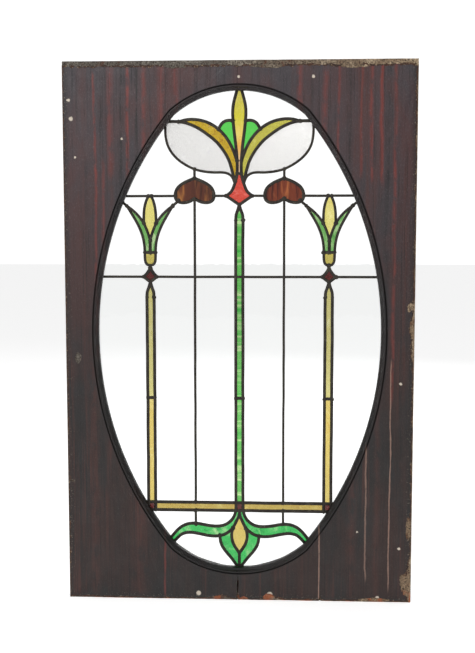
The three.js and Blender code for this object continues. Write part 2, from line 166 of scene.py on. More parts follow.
def cut(piece, cutter):
    """Cuts one closed piece with another, and throws the cutter away."""
    pick(piece)
    modifier = piece.modifiers.new("cut", "BOOLEAN")
    modifier.object = cutter
    modifier.operation = "DIFFERENCE"
    modifier.solver = "EXACT"
    modifier.use_self = True
    modifier.material_mode = "TRANSFER"
    bpy.ops.object.modifier_apply(modifier=modifier.name)
    bpy.data.objects.remove(cutter)


def count(piece):
    """Prints how many faces a piece has."""
    faces = sum(len(face.vertices) - 2 for face in piece.data.polygons)
    print(piece.name, faces, "triangles")


# %% [markdown]
# The camera stands a little to the right of the middle, above the middle of the sash, and looks
# slightly down at it. A long lens keeps the upright lines nearly parallel.

# %% Stand the camera up
def stand_camera(position, forward, up, lens):
    """A camera at a position, looking along one direction with another upwards."""
    bpy.ops.object.camera_add(location=position)
    camera = bpy.context.object
    right = forward.cross(up).normalized()
    level = right.cross(forward).normalized()
    turn = Matrix((right, level, -forward)).transposed()
    camera.rotation_euler = turn.to_euler()
    camera.data.lens = lens
    camera.data.sensor_width = 36
    camera.data.sensor_height = 36
    camera.data.sensor_fit = "AUTO"
    bpy.context.scene.camera = camera


drop_all()
stand_camera(
    Vector((0.0911, -1.9692, 0.7318)),
    Vector((-0.04778, 0.99468, -0.0913)).normalized(),
    Vector((-0.00398, 0.09122, 0.99582)),
    55.13,
)
print("camera at", [round(value, 3) for value in bpy.context.scene.camera.location])

# %% [markdown]
# ## The boards
# The moulding is a hollow, a bead and a quirk that roll into the opening, with a rebate behind
# for the panel. It follows four arcs, so its profile is drawn once for each arc, spun about the
# arc's centre, and mitred where two arcs meet. That gives the space that the opening takes away.

# %% Spin the moulding round the oval
MOULDING = [
    (11.5, -3.0), (11.5, 0.0), (11.3, 0.2), (10.9, 1.6), (10.2, 2.4), (9.5, 1.9), (9.0, 0.9),
    (8.4, 0.35), (7.3, 0.1), (6.2, 0.4), (5.4, 1.4), (4.8, 3.0), (3.6, 4.9), (2.4, 6.1),
    (1.2, 6.9), (0.3, 8.0), (0.0, 9.5), (0.0, 18.0), (10.0, 18.0), (10.0, 38.0),
]
OVER_TURN = math.radians(4)
SIDE_STEPS, END_STEPS = 72, 36


def drawn_line(name, points):
    """A line drawn from its first point by extruding, as with a pencil."""
    drop_all()
    bpy.ops.mesh.primitive_plane_add(size=MM, location=points[0])
    line = settle(bpy.context.object)
    line.name = name
    edit(line, "SELECT")
    bpy.ops.mesh.merge(type="CENTER")
    for start, end in zip(points, points[1:]):
        bpy.ops.mesh.extrude_vertices_move(TRANSFORM_OT_translate={"value": end - start})
    close_edit()
    return line


def mitre(x_sign, z_sign):
    """The place and direction of the plane on which a side arc meets an end arc."""
    corner = Vector((x_sign * CORNER[0], z_sign * CORNER[1]))
    side_out = (corner - Vector((-x_sign * SIDE_CENTRE, 0))).normalized()
    end_out = (corner - Vector((0, z_sign * END_CENTRE))).normalized()
    out = (side_out + end_out).normalized()
    return place(corner.x, corner.y + OVAL_MIDDLE, 0), Vector((-out.y, 0, out.x))


def spun_arc(profile, centre, radius, facing, half, steps, mitres):
    """A profile spun along one arc, and trimmed at the mitres at its two ends."""
    def at(turn, offset, depth):
        x, z = Vector(centre) + (radius + offset) * Vector((math.cos(turn), math.sin(turn)))
        return place(x, z + OVAL_MIDDLE, depth)

    first = facing - half - OVER_TURN
    arc = drawn_line("arc", [at(first, *point) for point in profile])
    edit(arc, "SELECT")
    bpy.ops.mesh.spin(
        steps=steps, angle=2 * (half + OVER_TURN), axis=(0, 1, 0),
        center=place(centre[0], centre[1] + OVAL_MIDDLE, 0),
    )
    for where, along in mitres:
        if (at(facing, 0, 0) - where).dot(along) > 0:
            along = -along
        bpy.ops.mesh.select_all(action="SELECT")
        bpy.ops.mesh.bisect(plane_co=where, plane_no=along, clear_outer=True)
    close_edit()
    return arc


def swept_round(profile, name):
    """A profile of [outside the sight edge, depth] points carried round the whole oval."""
    side_half = math.atan2(CORNER[1], CORNER[0] + SIDE_CENTRE)
    end_half = math.atan2(CORNER[0], CORNER[1] - END_CENTRE)
    arcs = []
    for sign, facing in ((1, 0), (-1, math.pi)):
        ends = [mitre(sign, up) for up in (1, -1)]
        arcs.append(spun_arc(profile, (-sign * SIDE_CENTRE, 0), SIDE_RADIUS, facing, side_half,
                             SIDE_STEPS, ends))
    for sign in (1, -1):
        ends = [mitre(across, sign) for across in (1, -1)]
        arcs.append(spun_arc(profile, (0, sign * END_CENTRE), END_RADIUS, sign * math.pi / 2,
                             end_half, END_STEPS, ends))
    ring = join(*arcs)
    ring.name = name
    edit(ring, "SELECT")
    bpy.ops.mesh.remove_doubles(threshold=0.08 * MM)
    if profile[0] != profile[-1]:
        bpy.ops.mesh.select_mode(type="EDGE")
        bpy.ops.mesh.select_all(action="DESELECT")
        bpy.ops.mesh.select_non_manifold()
        bpy.ops.mesh.edge_face_add()
        bpy.ops.mesh.select_mode(type="VERT")
    bpy.ops.mesh.select_all(action="SELECT")
    bpy.ops.mesh.normals_make_consistent(inside=False)
    close_edit()
    return ring


opening = swept_round(MOULDING, "opening")
count(opening)

# %% [markdown]
# The outer edges of the boards are torn: the varnish and the wood under it have broken away
# along the front. A strip of fine grid is moved into the shape of such a break, thickened
# outwards past the board, and taken out of it. Each edge is broken twice: a wide shallow break
# through the varnish, then a narrower one down to the bare wood. The faces that a cut leaves
# keep the finish of the cutter.

# %% Tear the outer edges
def ragged(value, seed, size, strength):
    """Uneven lift along a line, from fine to coarse."""
    return strength * noise.fractal(Vector((value / size, seed * 7.3, 0)), 0.9, 2.2, 4)


def bite(value, where, spread, strength):
    """A single break, deepest at one place along the edge."""
    return strength * max(0.0, 1 - abs(value - where) / spread)


CUTTER_THICK = 9


def torn_cutter(name, start, end, inward, reach, depth, seed, step=2.2, rows=7):
    """What has broken off an edge of the board, as a closed piece.

    `reach` gives how far the break runs in across the front, and `depth` how far it runs back
    along the side, in millimetres, by the place along the edge in millimetres.
    """
    along = (end - start).normalized()
    length = (end - start).length / MM
    drop_all()
    bpy.ops.mesh.primitive_grid_add(x_subdivisions=int(length / step), y_subdivisions=rows, size=1)
    strip = settle(bpy.context.object)
    strip.name = name
    back = Vector((0, 1, 0))
    for vertex in strip.data.vertices:
        far = (vertex.co.x + 0.5) * length
        across = 1.6 * (vertex.co.y + 0.5) - 0.3
        rough = 0.9 * noise.fractal(Vector((far / 7, across * 2.1, seed)), 0.8, 2.1, 4)
        vertex.co = (
            start + along * far * MM
            + inward * (reach(far) * (1 - across) + 0.6 * rough) * MM
            + back * (depth(far) * across - 0.6 * rough * (0 < across < 1)) * MM
        )
    edit(strip, "SELECT")
    bpy.ops.mesh.extrude_region_move(
        TRANSFORM_OT_translate={
            "value": (-inward * CUTTER_THICK - back * CUTTER_THICK) * MM})
    bpy.ops.mesh.select_all(action="SELECT")
    bpy.ops.mesh.normals_make_consistent(inside=False)
    close_edit()
    return strip


def top_reach(far):
    return 9.6 + far / 300 + ragged(far, 1, 90, 2.0) + ragged(far, 2, 14, 1.7)


def right_reach(far):
    breaks = bite(far, 44, 50, 12) + bite(far, 552, 55, 5) + bite(far, 500, 40, 3)
    return 2.4 + breaks + ragged(far, 3, 45, 2.2) + ragged(far, 4, 12, 1.5)


def bottom_reach(far):
    breaks = bite(far, 310, 24, 6) + bite(far, 415, 26, 7) + bite(far, 600, 40, 4)
    return 1.6 + breaks + ragged(far, 5, 60, 1.8) + ragged(far, 6, 14, 1.4)


def left_reach(far):
    return 1.0 + bite(far, 250, 8, 5) + ragged(far, 7, 50, 0.8) + ragged(far, 8, 12, 0.8)


EDGES = {
    # start, end, inward, reach, depth, and the share of it that the crust breaks
    "top": ((-SIDE, TOP), (SIDE, TOP), (0, -1), top_reach, 3.2, 0.45),
    "bottom": ((-SIDE, 0), (SIDE, 0), (0, 1), bottom_reach, 2.0, 0.6),
    "right": ((SIDE, 0), (SIDE, TOP), (-1, 0), right_reach, 2.4, 0.5),
    "left": ((-SIDE, 0), (-SIDE, TOP), (1, 0), left_reach, 1.3, 0.6),
}
PAST = 4.0


def edge_breaks(seed, name):
    """The shallow and the deep break of one edge, as two cutters."""
    start, end, inward, reach, deep, shallow = EDGES[name]
    start, end = Vector((start[0], FRONT, start[1])), Vector((end[0], FRONT, end[1]))
    past = (end - start).normalized() * PAST * MM
    line = (start - past, end + past, Vector((inward[0], 0, inward[1])))

    def depth(far):
        return deep + ragged(far, seed + 20, 30, 0.4 * deep)

    def wider(far):
        return reach(far) + 1.5 + abs(ragged(far, seed + 40, 9, 2.6))

    def shallower(far):
        return shallow * depth(far)

    yield torn_cutter(name + "_crust", *line, wider, shallower, seed + 5), broken_crust
    yield torn_cutter(name + "_tear", *line, reach, depth, seed), bare_wood


# %% [markdown]
# The wood has other wounds: a chip at the left stile, one at the bottom right corner, an open
# joint at the foot. Each is a rough lump taken out of the board.

# %% Knock lumps out of the board
WOUNDS = [
    # x, z, half sizes across, deep and up, and how it is turned
    (-334, 241, 7, 1.4, 2.4, 0.1), (-319, 489, 6, 1.2, 10, 0.05), (330, 36, 9, 3.0, 22, -0.15),
    (336, 152, 5, 2.0, 26, 0.0), (337, 548, 5, 2.0, 16, 0.0), (334, 592, 6, 1.8, 9, 0.2),
    (62, 5, 12, 2.4, 9, 0.3), (-40, 4, 12, 2.0, 5, 0.0), (270, 4, 30, 2.2, 5, 0.0),
    (-2.4, 30, 1.9, 9.0, 15, 0.02), (-2.4, 6, 3.2, 5.0, 7, 0.0), (8, 3, 9, 2.6, 4, 0.0),
    (162, 2, 2.2, 6.0, 9, 0.05), (-341, 1062, 7, 3.0, 5, 0.0), (341, 1060, 6, 4.0, 8, 0.0),
    (-128, 1056, 22, 1.6, 5, 0.1), (60, 1054, 30, 1.8, 4, 0.0), (220, 1053, 26, 1.8, 4, 0.0),
]


def lump(x, z, across, deep, up, turn, seed):
    """A rough ball, flattened to the sizes given, standing in the face of the board."""
    bpy.ops.mesh.primitive_ico_sphere_add(
        subdivisions=4, radius=1, location=place(x, z, 0), rotation=(0, turn, 0),
        scale=(across * MM, deep * MM, up * MM))
    ball = settle(bpy.context.object)
    centre = place(x, z, 0)
    for vertex in ball.data.vertices:
        away = vertex.co - centre
        rough = noise.fractal(vertex.co / (5 * MM) + Vector((seed, 0, 0)), 0.8, 2.1, 4)
        vertex.co = centre + away * (1 + 0.35 * rough)
    return ball


# %% Make the board and cut it
varnish = bpy.data.materials.new("worn_varnish")
broken_crust = bpy.data.materials.new("broken_crust")
bare_wood = bpy.data.materials.new("bare_wood")

drop_all()
middle = (0, (FRONT + BACK) / 2, TOP / 2)
bpy.ops.mesh.primitive_cube_add(size=1, location=middle, scale=(2 * SIDE, BACK - FRONT, TOP))
board = settle(bpy.context.object)
board.name = "sash_board"
edit(board, "SELECT")
bpy.ops.mesh.bevel(offset=1.0 * MM, segments=2)
close_edit()
board.data.materials.append(varnish)
opening.data.materials.append(varnish)
cut(board, opening)
for seed, name in enumerate(EDGES):
    for cutter, left_behind in edge_breaks(seed + 1, name):
        cutter.data.materials.append(left_behind)
        cut(board, cutter)
wounds = join(*[lump(*sizes, seed) for seed, sizes in enumerate(WOUNDS)])
wounds.data.materials.append(bare_wood)
cut(board, wounds)
count(board)

# %% Part the two boards
def board_half(name, node, joint_x, keep):
    """One of the two boards, cut from the whole at its side of the joint."""
    half = copy_of(board, name)
    edit(half, "SELECT")
    bpy.ops.mesh.bisect(plane_co=(joint_x, 0, 0), plane_no=(-keep, 0, 0), use_fill=True,
                        clear_outer=True)
    close_edit()
    pick(half)
    bpy.ops.object.shade_smooth_by_angle(angle=math.radians(30))
    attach(half, "root")
    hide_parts(node)
    count(half)


board_half("sash_left_board", "sash_left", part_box("sash_left")[1][0], -1)
board_half("sash_right_board", "sash_right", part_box("sash_right")[0][0], 1)
bpy.data.objects.remove(board)

# %% [markdown]
# ## The leads
# A came is a strip of lead with an H section: two thin leaves joined by a heart, with the edges
# of two panes between them. The cartoon gives the line that each heart follows. Smooth runs pass
# through a few points, as a bent lath does, and a run that turns a corner is two leads soldered.

# %% Draw the cartoon
THIN_X, TULIP_X, STRIP_HALF = 88.0, 176.5, 7.15
BAR_TOP, BAR_BOTTOM, CROSS_Z, WAIST_Z = 194.1, 177.9, 407.0, 649.0
SHOULDER_Z, HEART_HALF, HEART_TOP, HEART_NOTCH = 807.8, 38.4, 842.3, 802.5
HANGER_TOP, THROAT_Z, DIAMOND_HALF, DIAMOND_FOOT = 859.9, 851.0, 25.5, 790.4
SMALL_HALF, SMALL_TOP, SMALL_FOOT, FORK_Z, CUP_Z = 13.6, 666.0, 638.6, 720.0, 697.2
SCROLL_TOP, PAST_SIDE, PAST_FOOT = 150.6, 290.0, 55.0
HEAVY, MIDDLING, THIN = 6.0, 5.2, 4.9

BUD_SIDE = [(2.4, 1018), (7.8, 1000), (11.8, 983), (12.8, 965), (10.8, 940), (7.2, 910),
            (4.7, 885), (3.8, 862), (5, 846), (9, 831), (15.5, 816.5), (DIAMOND_HALF, SHOULDER_Z)]
GREEN_PETAL = [(12.4, 953), (20, 953.8), (28, 952.2), (34.5, 947.4), (41, 937)]
LEAF_UPPER = [(118, 951.6), (104, 955.2), (90, 956), (76, 954.2), (62, 950), (48, 942.4),
              (36, 932.7), (26, 921.5), (18, 909), (11.5, 895.5), (4.3, 876)]
LEAF_LOWER = [(150, 951.5), (130, 952.2), (114, 951.2), (100, 947.8), (82, 939.8),
              (62.5, 926.9), (45, 912.6), (30, 894), (20, 876), (13.8, 856), (8.6, 836)]
OPAL_EDGE = [(143.4, 951.6), (144.5, 937), (143.6, 922), (140.2, 907), (133, 893), (121.5, 880),
             (106, 868.8), (THIN_X, HANGER_TOP), (70, 855.3), (50, 853.2), (32, 853.1),
             (21.5, 850.6), (14, 844.5), (9.2, 833)]
HEART_SIDE = [(0, HEART_TOP), (10, 838.3), (21, 833.2), (31, 826), (36.6, 817.5),
              (HEART_HALF, SHOULDER_Z), (36, 799.8), (29.5, 795.2), (20, 794.5), (10, 796.8),
              (0, HEART_NOTCH)]
TULIP_SIDE = [(0, 671.4), (5.5, 672.8), (9.4, 678), (10.6, 687), (10.7, 697), (11.2, 708),
              (12.8, 720), (16, 732.5), (20.8, 745), (27, 757.5), (34.5, 770.5), (41, 781.5),
              (45.5, 788.5)]
TULIP_LEAF = [(0, FORK_Z), (2.2, 729), (5.2, 738), (8.4, 746), (12, 753.8), (17, 761.5),
              (22.5, 768.6), (29, 775.5), (36, 781.8), (43, 787), (51.5, 793.8), (57, 798.5)]
TULIP_BUD = [(12.2, 754), (12.1, 764), (11.6, 775), (10.2, 786), (7.4, 797), (3, SHOULDER_Z)]
SMALL_UPPER = [(0, SMALL_TOP), (3.4, 660.6), (7.6, 654.6), (SMALL_HALF, WAIST_Z)]
FLOWER_HEART = [(0, 90.5), (9.6, 104.5), (13.8, 114), (15.6, 124), (15.2, 133), (12.6, 142),
                (8.6, 150.5), (4.6, 159), (0, 169.5)]
SCROLL_UPPER = [(7.3, BAR_BOTTOM), (9.6, 169.5), (13.6, 161.5), (20, 154.4), (29, 148.6),
                (40, 145.8), (52, 145.5), (66, 147.1), (80, 149.8), (THIN_X, SCROLL_TOP),
                (94, 150.8), (106, 149), (117.5, 143.4), (127, 134.8), (141.5, 117)]
SCROLL_LOWER = [(12.6, 142), (17.2, 137.6), (23, 132.8), (30, 128.7), (40, 125.6), (52, 124.8),
                (66, 126.2), (82, 129.5), (97, 131.7), (108, 131), (117.5, 127.2), (134, 111)]
LOWER_PETAL = [(39.5, 125.7), (38.6, 116), (36, 107), (30.5, 97.5), (23, 88), (15, 78.5),
               (2.4, 61)]


def mirrored(run):
    return [(-x, z) for x, z in run]


def beside(run, axis):
    return [(x + axis, z) for x, z in run]


def strip_runs(foot, top):
    """One side of a strip of glass: its pointed top and its straight side."""
    shoulder = [(0, top), (3.6, top - 12), (6.2, top - 19), (STRIP_HALF, top - 30)]
    return [shoulder, [(STRIP_HALF, top - 30), (STRIP_HALF, foot)]]


def cartoon():
    """Every lead but the border's, as (width, run)."""
    heavy_pairs = [BUD_SIDE, GREEN_PETAL, LEAF_UPPER, LEAF_LOWER, SCROLL_UPPER, SCROLL_LOWER,
                   LOWER_PETAL, FLOWER_HEART, [(0, DIAMOND_FOOT), (DIAMOND_HALF, SHOULDER_Z)]]
    heavy_pairs += strip_runs(BAR_BOTTOM, DIAMOND_FOOT)
    thin_pairs = [
        OPAL_EDGE, [(THIN_X, HANGER_TOP), (THIN_X, HEART_TOP)],
        [(THIN_X, HEART_NOTCH), (THIN_X, BAR_TOP)], [(THIN_X, BAR_BOTTOM), (THIN_X, SCROLL_TOP)],
        [(PAST_SIDE, SHOULDER_Z), (THIN_X + HEART_HALF, SHOULDER_Z)],
        [(THIN_X - HEART_HALF, SHOULDER_Z), (DIAMOND_HALF, SHOULDER_Z)],
        [(PAST_SIDE, WAIST_Z), (TULIP_X + SMALL_HALF, WAIST_Z)],
    ]
    for axis in (-TULIP_X, TULIP_X):
        figure = [TULIP_SIDE, TULIP_LEAF, TULIP_BUD, SMALL_UPPER,
                  [(0, SMALL_FOOT), (SMALL_HALF, WAIST_Z)]] + strip_runs(BAR_BOTTOM, SMALL_FOOT)
        figure += [mirrored(run) for run in figure]
        slim = figure[0:3] + figure[7:10]
        yield from ((MIDDLING if run in slim else HEAVY, beside(run, axis)) for run in figure)
        crosses = [[(0, FORK_Z), (0, CUP_Z)], [(-10.7, CUP_Z), (10.7, CUP_Z)],
                   [(-STRIP_HALF, CROSS_Z), (STRIP_HALF, CROSS_Z)]]
        yield from ((HEAVY, beside(run, axis)) for run in crosses)
        yield THIN, beside([(0, 671.4), (0, SMALL_TOP)], axis)
    for axis in (-THIN_X, THIN_X):
        yield HEAVY, beside(HEART_SIDE, axis)
        yield HEAVY, beside(mirrored(HEART_SIDE), axis)
    for width, pairs in ((HEAVY, heavy_pairs), (THIN, thin_pairs)):
        for run in pairs:
            yield width, run
            yield width, mirrored(run)
    yield HEAVY, [(-4, THROAT_Z), (4, THROAT_Z)]
    yield HEAVY, [(0, BAR_BOTTOM), (0, 169.5)]
    yield HEAVY, [(0, 90.5), (0, PAST_FOOT)]
    yield HEAVY, [(-STRIP_HALF, CROSS_Z), (STRIP_HALF, CROSS_Z)]
    yield HEAVY, [(-PAST_SIDE, BAR_TOP), (PAST_SIDE, BAR_TOP)]
    yield HEAVY, [(-PAST_SIDE, BAR_BOTTOM), (PAST_SIDE, BAR_BOTTOM)]
    inner = TULIP_X - SMALL_HALF
    yield THIN, [(-inner, WAIST_Z), (inner, WAIST_Z)]


LEADS = list(cartoon())
print(len(LEADS), "leads in the cartoon")

# %% [markdown]
# Lead is soft, so no line of it is quite true. The same gentle waver moves every lead that
# passes a place, which keeps the joints together. Each run becomes a curve, and the H section
# is carried along it, so one drawing of the section makes every came.

# %% Bend the cames
BORDER = 4.0
STEP = 4.0
LEAF_CURVE = [(0, 3.0), (0.43, 2.88), (0.77, 2.5), (0.95, 2.05), (1.0, 1.8), (0.95, 1.66)]
HEART_SIDE_AT = (0.8, 1.66)


def bent(points):
    """A smooth line through points, in steps of a few millimetres."""
    if len(points) == 2:
        start, end = map(Vector, points)
        steps = max(1, round((end - start).length / (2 * STEP)))
        return [start.lerp(end, i / steps) for i in range(steps + 1)]
    points = [Vector(point) for point in points]
    ends = [2 * points[0] - points[1], *points, 2 * points[-1] - points[-2]]
    line = [points[0]]
    for before, start, end, after in zip(ends, ends[1:], ends[2:], ends[3:]):
        length = (end - start).length
        first = (end - before).normalized() * length / 3
        last = (after - start).normalized() * length / 3
        steps = max(1, round(length / STEP))
        for i in range(1, steps + 1):
            t = i / steps
            line.append(start * (1 - t) ** 3 + 3 * (start + first) * t * (1 - t) ** 2
                        + 3 * (end - last) * t * t * (1 - t) + end * t ** 3)
    return line


def inside_border(line):
    """The part of a line that lies inside the middle of the border came."""
    kept = []
    for point in line:
        inside = outside_oval(*point) <= BORDER
        if kept and inside != was_inside:
            near, far = (last, point) if was_inside else (point, last)
            for _ in range(12):
                middle = (near + far) / 2
                near, far = (middle, far) if outside_oval(*middle) <= BORDER else (near, middle)
            kept.append((near, True))
        kept.append((point, inside))
        last, was_inside = point, inside
    return [point for point, inside in kept if inside]


def waver(point):
    """How far the leads have wandered at a place on the cartoon."""
    drift = noise.noise_vector(Vector((point[0] / 45, point[1] / 45, 3.1)))
    return Vector((point[0] + 0.45 * drift.x, point[1] + 0.3 * drift.y))


def came_section(width):
    """The H section of a came, as a closed curve to carry along a lead."""
    right = [(share * width / 2, y) for share, y in LEAF_CURVE] + [HEART_SIDE_AT]
    section = right + [(x, -y) for x, y in reversed(right)]
    section += [(-x, -y) for x, y in right[1:]] + [(-x, y) for x, y in reversed(right[1:])]
    data = bpy.data.curves.new("section", "CURVE")
    data.dimensions = "2D"
    spline = data.splines.new("POLY")
    spline.points.add(len(section) - 1)
    for point, (x, y) in zip(spline.points, section):
        point.co = (x * MM, y * MM, 0, 1)
    spline.use_cyclic_u = True
    curve = bpy.data.objects.new("section", data)
    bpy.context.collection.objects.link(curve)
    return curve


def came_run(name, width, lines, closed=False):
    """The cames of one width, carried along their lines and made a mesh."""
    section = came_section(width)
    data = bpy.data.curves.new(name, "CURVE")
    data.dimensions = "2D"
    data.fill_mode = "NONE"
    data.bevel_mode = "OBJECT"
    data.bevel_object = section
    data.use_fill_caps = True
    for line in lines:
        spline = data.splines.new("POLY")
        spline.points.add(len(line) - 1)
        for point, (x, z) in zip(spline.points, line):
            point.co = (x * MM, z * MM, 0, 1)
        spline.use_cyclic_u = closed
    run = bpy.data.objects.new(name, data)
    bpy.context.collection.objects.link(run)
    run.rotation_euler = (math.pi / 2, 0, 0)
    run.location = place(0, 0, CAME_MIDDLE)
    pick(run)
    bpy.ops.object.convert(target="MESH")
    bpy.data.objects.remove(section)
    return settle(run)


LINES = [(width, [waver(point) for point in inside_border(bent(run))]) for width, run in LEADS]
ring = [waver(oval_point(math.tau * i / 300, BORDER)) for i in range(300)]
runs = [came_run(f"cames_{width}", width, [line for wide, line in LINES if wide == width])
        for width in (HEAVY, MIDDLING, THIN)]
runs.append(came_run("border_came", HEAVY, [ring], closed=True))
net = join(*runs)
net.name = net.data.name = "came_net"
edit(net, "SELECT")
bpy.ops.mesh.remove_doubles(threshold=0.02 * MM)
bpy.ops.mesh.normals_make_consistent(inside=False)
close_edit()

# %% [markdown]
# Where leads meet they are soldered, front and back. A drop of solder spreads into a low uneven
# button, so one flattened ball is set at every meeting place, each copy turned and knocked about
# in its own way.

# %% Solder the joints
def meeting_places():
    """The ends of the leads, where ends that lie close together count as one place."""
    found = []
    for _, line in LINES:
        for end in (line[0], line[-1]):
            if all((end - other).length > 5 for other in found):
                found.append(end)
    return found


def solder_button(where, depth, chance):
    """One uneven button of solder, spread on the face of the leads."""
    size = chance.uniform(3.4, 4.6) * MM
    bpy.ops.mesh.primitive_ico_sphere_add(
        subdivisions=2, radius=1, location=place(*where, depth),
        rotation=(0, chance.uniform(0, math.tau), 0),
        scale=(size * chance.uniform(0.85, 1.2), 0.62 * MM, size),
    )
    button = settle(bpy.context.object)
    centre = place(*where, depth)
    for vertex in button.data.vertices:
        away = vertex.co - centre
        knock = 1 + 0.22 * noise.noise(vertex.co / (2.5 * MM))
        vertex.co = centre + Vector((away.x * knock, away.y, away.z * knock))
    return button


chance = random.Random(4)
faces = (CAME_MIDDLE - 2.75, CAME_MIDDLE + 2.75)
drop_all()
buttons = [solder_button(where, depth, chance) for where in meeting_places() for depth in faces]
print(len(buttons), "buttons of solder")
net = join(net, *buttons)
pick(net)
bpy.ops.object.shade_smooth_by_angle(angle=math.radians(45))
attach(net, "root")
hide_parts("lead_cames")
count(net)

# %% [markdown]
# ## The putty
# A fillet of putty fills the rebate behind the panel. It was struck off with a knife, so its
# slope is fairly flat, but it has shrunk, cracked and crumbled. The knife's section is carried
# round the oval, then its sloped face is pushed about.

# %% Run the putty round
PUTTY = [(1.2, 24.7), (9.7, 24.7), (9.7, 33.2), (8.9, 33.2), (6.4, 30.4), (3.6, 27.2), (1.2, 25.1),
         (1.2, 24.7)]
putty = swept_round(PUTTY, "putty_fillet")
for vertex in putty.data.vertices:
    rough = noise.fractal(vertex.co / (9 * MM), 0.8, 2.2, 4)
    x, z = vertex.co.x / MM, vertex.co.z / MM
    if outside_oval(x, z) < 9.6 and vertex.co.y > FRONT + 24.9 * MM:
        vertex.co.y += 0.7 * rough * MM
pick(putty)
bpy.ops.object.shade_smooth_by_angle(angle=math.radians(50))
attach(putty, "root")
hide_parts("glazing_putty")
count(putty)

# %% [markdown]
# ## The glass
# Most panes stand as the CAD model cuts them, with their edges hidden in the leads. The ten
# smallest clear ones are cut here: a sheet, less the leads, falls apart into its panes.

# %% Cut the ten smallest clear panes
SMALL_PANES = {
    "clear_tulip_outer": (205.0, 793.0), "clear_tulip_inner": (149.0, 793.0),
    "clear_throat": (48.0, 834.0), "clear_scroll_outer": (134.0, 147.0),
    "clear_scroll_inner": (55.0, 163.0),
}
GLASS = [(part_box("clear_top_left")[i][1] - FRONT) / MM for i in (0, 1)]


def small_panes():
    """The pieces of a sheet that the CAD model's leads part, with their names."""
    leads = copy_of(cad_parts["lead_cames"], "lead_cutter")
    edit(leads, "SELECT")
    bpy.ops.mesh.remove_doubles(threshold=0.001 * MM)
    close_edit()
    sheet = swept_round([(3.0, GLASS[0]), (3.0, GLASS[1])], "sheet")
    cut(sheet, leads)
    pick(sheet)
    edit(sheet, "SELECT")
    bpy.ops.mesh.separate(type="LOOSE")
    close_edit()
    parts = list(bpy.context.selected_objects)
    for part in parts:
        low = Vector([min(v.co[i] for v in part.data.vertices) for i in range(3)])
        high = Vector([max(v.co[i] for v in part.data.vertices) for i in range(3)])
        middle = (low + high) / 2 / MM
        names = [name + ("_left" if middle.x < 0 else "_right")
                 for name, (x, z) in SMALL_PANES.items()
                 if math.hypot(abs(middle.x) - x, middle.z - z) < 16]
        if names and (high - low).x < 110 * MM:
            part.name = part.data.name = names[0]
            yield part
        else:
            bpy.data.objects.remove(part)


new_panes = list(small_panes())
for pane in new_panes:
    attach(pane, "root")
    count(pane)

# %% [markdown]
# ## Finishes
# A finish is a network of nodes, from a pattern on the left to the shader on the right. This
# helper adds nodes and joins them, so that each finish reads as a few lines.

# %% Lay out nodes
class Graph:
    """A node tree that is written from left to right."""

    def __init__(self, tree):
        self.tree = tree
        tree.nodes.clear()

    def add(self, kind, inputs=(), **settings):
        """A node, with its settings and its inputs, each a value or another node's socket."""
        node = self.tree.nodes.new(kind if kind.startswith("Node") else "ShaderNode" + kind)
        for name, value in settings.items():
            setattr(node, name, value)
        for name, value in dict(inputs).items():
            socket = node.inputs[name]
            if isinstance(value, bpy.types.NodeSocket):
                self.tree.links.new(value, socket)
            else:
                socket.default_value = value
        return node

    def math(self, operation, first, second=0.0, third=0.0):
        return self.add("Math", {0: first, 1: second, 2: third}, operation=operation).outputs[0]

    def times(self, vector, size):
        return self.add("VectorMath", {0: vector, 1: size}, operation="MULTIPLY").outputs[0]

    def cloud(self, vector, scale=1.0, detail=4.0, roughness=0.6, distortion=0.0):
        """Soft noise, from 0 to 1."""
        return self.add("TexNoise", {"Vector": vector, "Scale": scale, "Detail": detail,
                                     "Roughness": roughness, "Distortion": distortion}).outputs[0]

    def step(self, value, low, high):
        """A smooth rise from 0 at `low` to 1 at `high`, or a fall where `low` is higher."""
        inputs = {"Value": value, "From Min": low, "From Max": high}
        return self.add("MapRange", inputs, interpolation_type="SMOOTHSTEP").outputs[0]

    def mix(self, share, first, second):
        """Two colours, mixed by a share."""
        node = self.add("Mix", {0: share}, data_type="RGBA")
        for socket, value in ((node.inputs[6], first), (node.inputs[7], second)):
            if isinstance(value, bpy.types.NodeSocket):
                self.tree.links.new(value, socket)
            else:
                socket.default_value = (*value, 1)
        return node.outputs[2]

    def ramp(self, value, stops):
        """Colours by value, from (value, colour) stops in rising order."""
        low, high = stops[0][0], stops[-1][0]
        share = self.add("MapRange", {"Value": value, "From Min": low, "From Max": high}).outputs[0]
        node = self.add("ValToRGB", {0: share})
        elements = node.color_ramp.elements
        elements[0].color = (*stops[0][1], 1)
        elements[1].color = (*stops[-1][1], 1)
        for where, colour in stops[1:-1]:
            elements.new((where - low) / (high - low)).color = (*colour, 1)
        return node.outputs[0]

    def bump(self, height, distance):
        """The slope of a surface, from a height of 0 to 1 and its size in millimetres."""
        inputs = {"Height": height, "Distance": distance * MM, "Strength": 1.0}
        return self.add("Bump", inputs).outputs[0]


def group(name, inputs, outputs):
    """An empty node group with named sockets: its graph, its inputs, and a way to close it."""
    tree = bpy.data.node_groups.new(name, "ShaderNodeTree")
    for side, sockets in (("INPUT", inputs), ("OUTPUT", outputs)):
        for label, (kind, value) in sockets.items():
            socket = tree.interface.new_socket(label, in_out=side, socket_type="NodeSocket" + kind)
            if value is not None:
                socket.default_value = value
    graph = Graph(tree)
    given = graph.add("NodeGroupInput").outputs

    def close(**results):
        graph.add("NodeGroupOutput", {key.replace("_", " "): value
                                      for key, value in results.items()})
        return tree
    return graph, given, close


